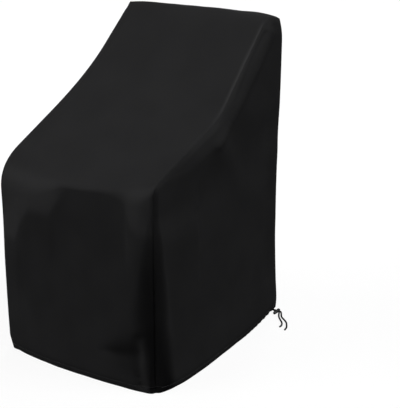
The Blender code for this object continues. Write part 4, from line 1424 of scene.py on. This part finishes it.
# %% Define the finish
class Finish:
    """A material in the making, or another node tree, with one method that adds any node."""

    def __init__(self, name, tree=None):
        if tree is None:
            self.material = bpy.data.materials.new(name)
            self.material.use_nodes = True
            tree = self.material.node_tree
        self.tree = tree
        self.tree.nodes.clear()

    def add(self, kind, settings=None, values=None, out=0):
        """Adds a node: its settings first, then a number or wire for each named socket."""
        node = self.tree.nodes.new("ShaderNode" + kind)
        for name, value in (settings or {}).items():
            setattr(node, name, value)
        for name, value in (values or {}).items():
            if isinstance(value, Wire):
                self.tree.links.new(value.socket, node.inputs[name])
            else:
                node.inputs[name].default_value = value
        return Wire(self, node.outputs[out]) if len(node.outputs) else None

    def mix(self, share, first, second):
        """A colour between two, by a share from 0 to 1."""
        values = {0: share, 6: first, 7: second}
        return self.add("Mix", {"data_type": "RGBA"}, values, out=2)

    def bump(self, height, depth, under=None):
        """A relief of a height from 0 to 1, `depth` metres deep, on top of the one under it."""
        values = {"Height": height, "Distance": depth}
        if under:
            values["Normal"] = under
        return self.add("Bump", None, values)

    def close(self, **values):
        """Ends the finish in a Principled shader with these values, and returns the material."""
        named = {name.replace("_", " "): value for name, value in values.items()}
        shader = self.add("BsdfPrincipled", None, named)
        self.add("OutputMaterial", None, {"Surface": shader})
        return self.material


print("a finish can", ", ".join(name for name in vars(Finish) if name[0] != "_"))


# %% Define the wire
class Wire:
    """One value in a finish: a socket on which sums are written as in Python."""

    def __init__(self, finish, socket):
        self.finish, self.socket = finish, socket

    def output(self, number):
        """Another output of the same node."""
        return Wire(self.finish, self.socket.node.outputs[number])

    def math(self, operation, *values):
        """A Math node's result, from numbers or wires."""
        return self.finish.add("Math", {"operation": operation}, dict(enumerate(values)))

    def __add__(self, other):
        return self.math("ADD", self, other)

    def __radd__(self, other):
        return self.math("ADD", other, self)

    def __sub__(self, other):
        return self.math("SUBTRACT", self, other)

    def __rsub__(self, other):
        return self.math("SUBTRACT", other, self)

    def __mul__(self, other):
        return self.math("MULTIPLY", self, other)

    def __rmul__(self, other):
        return self.math("MULTIPLY", other, self)

    def __pow__(self, power):
        return self.math("POWER", self, power)

    def __abs__(self):
        return self.math("ABSOLUTE", self)

    def sine(self):
        """The sine of an angle in radians."""
        return self.math("SINE", self)

    def between(self, low, high):
        """0 below low, 1 above high and a smooth step between."""
        values = {"Value": self, "From Min": low, "From Max": high}
        return self.finish.add("MapRange", {"interpolation_type": "SMOOTHSTEP"}, values)


operators = [name for name, value in vars(Wire).items() if callable(value) and name[0] == "_"]
print("a wire answers to", ", ".join(name.strip("_") for name in operators))


# %% Define the inputs that finishes share
def noise(finish, where, scale, detail=2.0, roughness=0.5, distortion=0.0):
    """Blender's noise, `scale` lumps to the metre, from 0 to 1."""
    values = {"Vector": where, "Scale": scale, "Detail": detail, "Roughness": roughness}
    values["Distortion"] = distortion
    return finish.add("TexNoise", None, values)


def object_place(finish):
    """Where a point lies in the object, in metres."""
    return finish.add("TexCoord", out=3)


def cloth_place(finish):
    """Where a point lies on its UV map, in metres: across and along."""
    uv = finish.add("UVMap", {"uv_map": "cloth"})
    across = finish.add("SeparateXYZ", None, {0: uv})
    return across, across.output(1)


def grey(level, blue=0.0):
    """A colour from a grey level, and how much more blue it holds."""
    return (level, level, level + blue, 1)


print("the cloth's lighter grey is", grey(0.0122, 0.0003))

# %% [markdown]
# ## The cloth's finish
#
# The cloth is polyester in plain weave, dyed black and coated on the inside. From a step away
# it is a soft matt black. Close to, its threads show as a fine even grain. It is a little paler
# where it is handled, along the hem and the back's seams. Light and shade are painted into its
# colour as well: a thin highlight along the slope's seams, paler tones over the arms' ends, beside
# the slope's seams and on the outer walls of the gathers, and near-black shade in the folds at the
# front corner. The weave is a product of two sine waves in metres on the UV map, and the slight
# crumple left by folding is noise.

# %% Mix the cloth
WEAVE_PITCH = 0.0011  # from one thread to the next


def black_cloth():
    """Colour from weave, handling, painted light and shade; relief from crumple, weave and uneven
    yarn.
    """
    cloth = Finish("coated_black_cloth")
    across_cloth, along_cloth = cloth_place(cloth)
    warp = (across_cloth * (math.pi / WEAVE_PITCH)).sine()
    weft = (along_cloth * (math.pi / WEAVE_PITCH)).sine()
    weave = abs(warp * weft) ** 0.5
    where = object_place(cloth)
    crumple = noise(cloth, where, 34, detail=4, roughness=0.55, distortion=0.4)
    broad = noise(cloth, where, 7, detail=2)
    slub = noise(cloth, where, 900, detail=1)
    marks = ("edge", "rubbed", "gathered")
    edge, rubbed, gathered = (cloth.add("Attribute", {"attribute_name": m}, out=2) for m in marks)
    relief = cloth.bump(crumple, 0.0004)
    relief = cloth.bump(weave * 0.8 + slub * 0.2, 0.00007, relief)
    # Paler edges: handled at the hem and the back's seams, a painted highlight along the slope's
    # seams
    worn_and_painted_highlight = edge * (0.7 + 0.3 * noise(cloth, where, 90, detail=2).between(0.3, 0.7))
    # The paler tone of the second mark, over the arms' ends and beside the slope, is painted light
    tone = broad.between(0.3, 0.7) * 0.12 + weave * 0.12 + worn_and_painted_highlight * 0.35 + rubbed * 0.42
    colour = cloth.mix(tone, grey(0.0056, 0.0002), grey(0.0122, 0.0003))
    # Near black in the folds at the front corner: painted shade
    colour = cloth.mix(gathered, colour, grey(0.0011, 0.0001))
    rough = 0.66 + 0.06 * crumple + 0.06 * (1 - weave) - 0.32 * worn_and_painted_highlight
    return cloth.close(
        Base_Color=colour,
        Roughness=rough,
        Normal=relief,
        Specular_IOR_Level=0.045,
    )


cloth_finish = black_cloth()
for piece in (centre_cloth, back_cloth, *side_cloths.values()):
    piece.data.materials.append(cloth_finish)
print("cloth finish:", len(cloth_finish.node_tree.nodes), "nodes")


# %% Mix the thread
def sewing_thread():
    """A black thread with the fine twist of its filaments as noise."""
    thread = Finish("black_thread")
    twist = noise(thread, object_place(thread), 2400, detail=2)
    colour = thread.mix(twist, grey(0.012, 0.001), grey(0.030, 0.002))
    relief = thread.bump(twist, 0.0001)
    return thread.close(Base_Color=colour, Roughness=0.55 + 0.15 * twist, Normal=relief)


thread_finish = sewing_thread()
stitches.data.materials.append(thread_finish)
print("thread finish:", len(thread_finish.node_tree.nodes), "nodes")

# %% [markdown]
# ## The cord's and the lock's finishes
#
# The braid's strands are bundles of fine filaments, so each lump carries fine lines along the
# strand's own slant. The lock is moulded in black plastic with a fine spark-eroded grain, and
# scattered patches of it are a little smoother and paler from handling. Its two parts keep their
# CAD meshes, and only their material slots change.

# %% Mix the cord
FILAMENTS = 10  # fine lines to each strand


def braid():
    """The braid's lumps again, as on the tube, with filaments along the strands of one way."""
    cord = Finish("braided_cord")
    around, along_cord = cloth_place(cord)
    turns, lay, half = 2 / CORD, 2 * math.pi / LAY, STRANDS / 2
    one_way = ((around * turns + along_cord * lay) * half).sine()
    other_way = ((around * turns - along_cord * lay) * half).sine()
    lumps = abs(one_way * other_way) ** 0.5
    fine = ((around * turns + along_cord * lay) * (half * FILAMENTS)).sine() * 0.5 + 0.5
    # The hollows between the strands are coloured darker than the lumps: painted shade
    colour = cord.mix(lumps, grey(0.0018, 0.0001), grey(0.0060, 0.0002))
    relief = cord.bump(lumps * 0.7 + fine * 0.3, 0.00025)
    return cord.close(
        Base_Color=colour,
        Roughness=0.78 - 0.12 * lumps,
        Normal=relief,
        Specular_IOR_Level=0.12,
    )


cord_finish = braid()
for end in cord_ends.values():
    end.data.materials.append(cord_finish)
print("cord finish:", len(cord_finish.node_tree.nodes), "nodes")


# %% Mix the lock's plastic
def moulded_plastic(name, low, high, rough):
    """Black plastic between two greys, with a fine grain and smoother, paler patches from
    handling.
    """
    plastic = Finish(name)
    where = object_place(plastic)
    grain = noise(plastic, where, 5200, detail=2)
    # These paler, smoother patches are wear alone
    rubbed = noise(plastic, where, 420, detail=2).between(0.4, 0.7)
    colour = plastic.mix(rubbed, grey(low), grey(high))
    relief = plastic.bump(grain, 0.00004)
    return plastic.close(Base_Color=colour, Roughness=rough - 0.12 * rubbed, Normal=relief)


lock_pieces = {
    "cord_lock_barrel": moulded_plastic("lock_barrel_plastic", 0.005, 0.009, 0.50),
    "cord_lock_button": moulded_plastic("lock_button_plastic", 0.006, 0.011, 0.44),
}
for node, finish in lock_pieces.items():
    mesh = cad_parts[node].data
    mesh.materials.clear()
    mesh.materials.append(finish)
    print(node, "is finished in", finish.name)

# %% [markdown]
# ## A pale floor and backdrop
#
# A black object needs a pale room, or its outline is lost. The floor is one large square whose
# paint gives off light of its own, so that it is evenly pale and shows no horizon shade. A dome
# of the same paint stands behind it, so that a view from low down is pale as well. Both are
# seen, but neither lights the cover.

# %% Lay the floor
FLOOR = 30  # from its middle to an edge
floor_mesh = bpy.data.meshes.new("floor")
floor_corners = [(-1, -1), (1, -1), (1, 1), (-1, 1)]
floor_mesh.from_pydata([(x * FLOOR, y * FLOOR, floor_z) for x, y in floor_corners], [],
                       [(0, 1, 2, 3)])
floor = bpy.data.objects.new("floor", floor_mesh)
floor.visible_diffuse = floor.visible_glossy = False
scene.collection.objects.link(floor)
print("the floor is", 2 * FLOOR, "m wide at", round(floor_z, 4))

# %% Paint the floor
paint = Finish("pale_floor")
speckle = noise(paint, object_place(paint), 3, detail=1)
pale = paint.mix(speckle, grey(0.045), grey(0.050))
floor_mesh.materials.append(
    paint.close(
        Base_Color=pale,
        Roughness=0.9,
        Specular_IOR_Level=0.0,
        Emission_Color=grey(1),
        Emission_Strength=0.90,
    )
)
print("floor paint:", len(paint.tree.nodes), "nodes")

# %% Hang the backdrop
DOME = 29  # radius
turn, rise = np.meshgrid(np.linspace(0, 2 * np.pi, 65), np.linspace(0, np.pi / 2, 17))
dome_points = DOME * np.stack(
    [np.cos(rise) * np.cos(turn), np.cos(rise) * np.sin(turn), np.sin(rise)], axis=-1
) + (0, 0, floor_z)
backdrop = grid_piece("backdrop", dome_points, np.stack([turn, rise], axis=-1))
backdrop.visible_diffuse = backdrop.visible_glossy = backdrop.visible_shadow = False
backdrop.data.materials.append(floor_mesh.materials[0])
print("the backdrop has", faces_of(backdrop), "faces")

# %% [markdown]
# ## Light
#
# The cover's shape is read from soft differences in how much light each face sees. The air is
# dim below and brighter above. Three wide soft lights give the faces their tones: one low from
# the front left, one higher from the right, and one low from behind for those who walk round.
# They make no highlights. A fourth, high from the front right, makes nothing else: it draws the
# thin bright line along the slope's seam.

# %% Fill the room with air
AIR_LOW, AIR_MORE = 0.06, 0.36  # brightness of the air below, and how much more there is above
world = bpy.data.worlds.new("pale_room")
scene.world = world
world.use_nodes = True
room = Finish("pale_room", world.node_tree)
height = room.add("SeparateXYZ", None, {0: room.add("TexCoord")}).output(2)
air = room.add("Background", None, {"Strength": AIR_LOW + AIR_MORE * height.between(0.0, 0.5)})
room.add("OutputWorld", None, {"Surface": air})
print("the air has", len(room.tree.nodes), "nodes")


# %% Hang the lights
def soft_sun(name, azimuth, elevation, spread, strength):
    """An even light from one direction, in degrees: azimuth 0 shines from the front and 90
    from the right. Its spread is how wide the source looks, which softens its shadows."""
    light = bpy.data.lights.new(name, "SUN")
    light.angle, light.energy = math.radians(spread), strength
    lamp = bpy.data.objects.new(name, light)
    lamp.rotation_euler = (math.radians(90 - elevation), 0, math.radians(azimuth))
    scene.collection.objects.link(lamp)
    print(name, "shines from", azimuth, "degrees round and", elevation, "up")
    return lamp


left_light = soft_sun("left_light", azimuth=-50, elevation=16, spread=54, strength=7.0)
right_light = soft_sun("right_light", azimuth=106, elevation=42, spread=44, strength=5.5)
back_light = soft_sun("back_light", azimuth=198, elevation=10, spread=26, strength=6.0)
top_light = soft_sun("top_light", azimuth=37, elevation=62, spread=26, strength=5.0)
for lamp in (left_light, right_light, back_light):
    lamp.visible_glossy = False
top_light.visible_diffuse = False
scene.view_settings.view_transform = "Standard"

print(2 + len(side_cloths), "sheets are declared")

lock = [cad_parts["cord_lock_barrel"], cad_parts["cord_lock_button"]]
for which, end in cord_ends.items():
    route = routes[which]
    lock if which == "short" else ()
    print(end.name, "is declared as", round(length_of(route), 4), "m long")
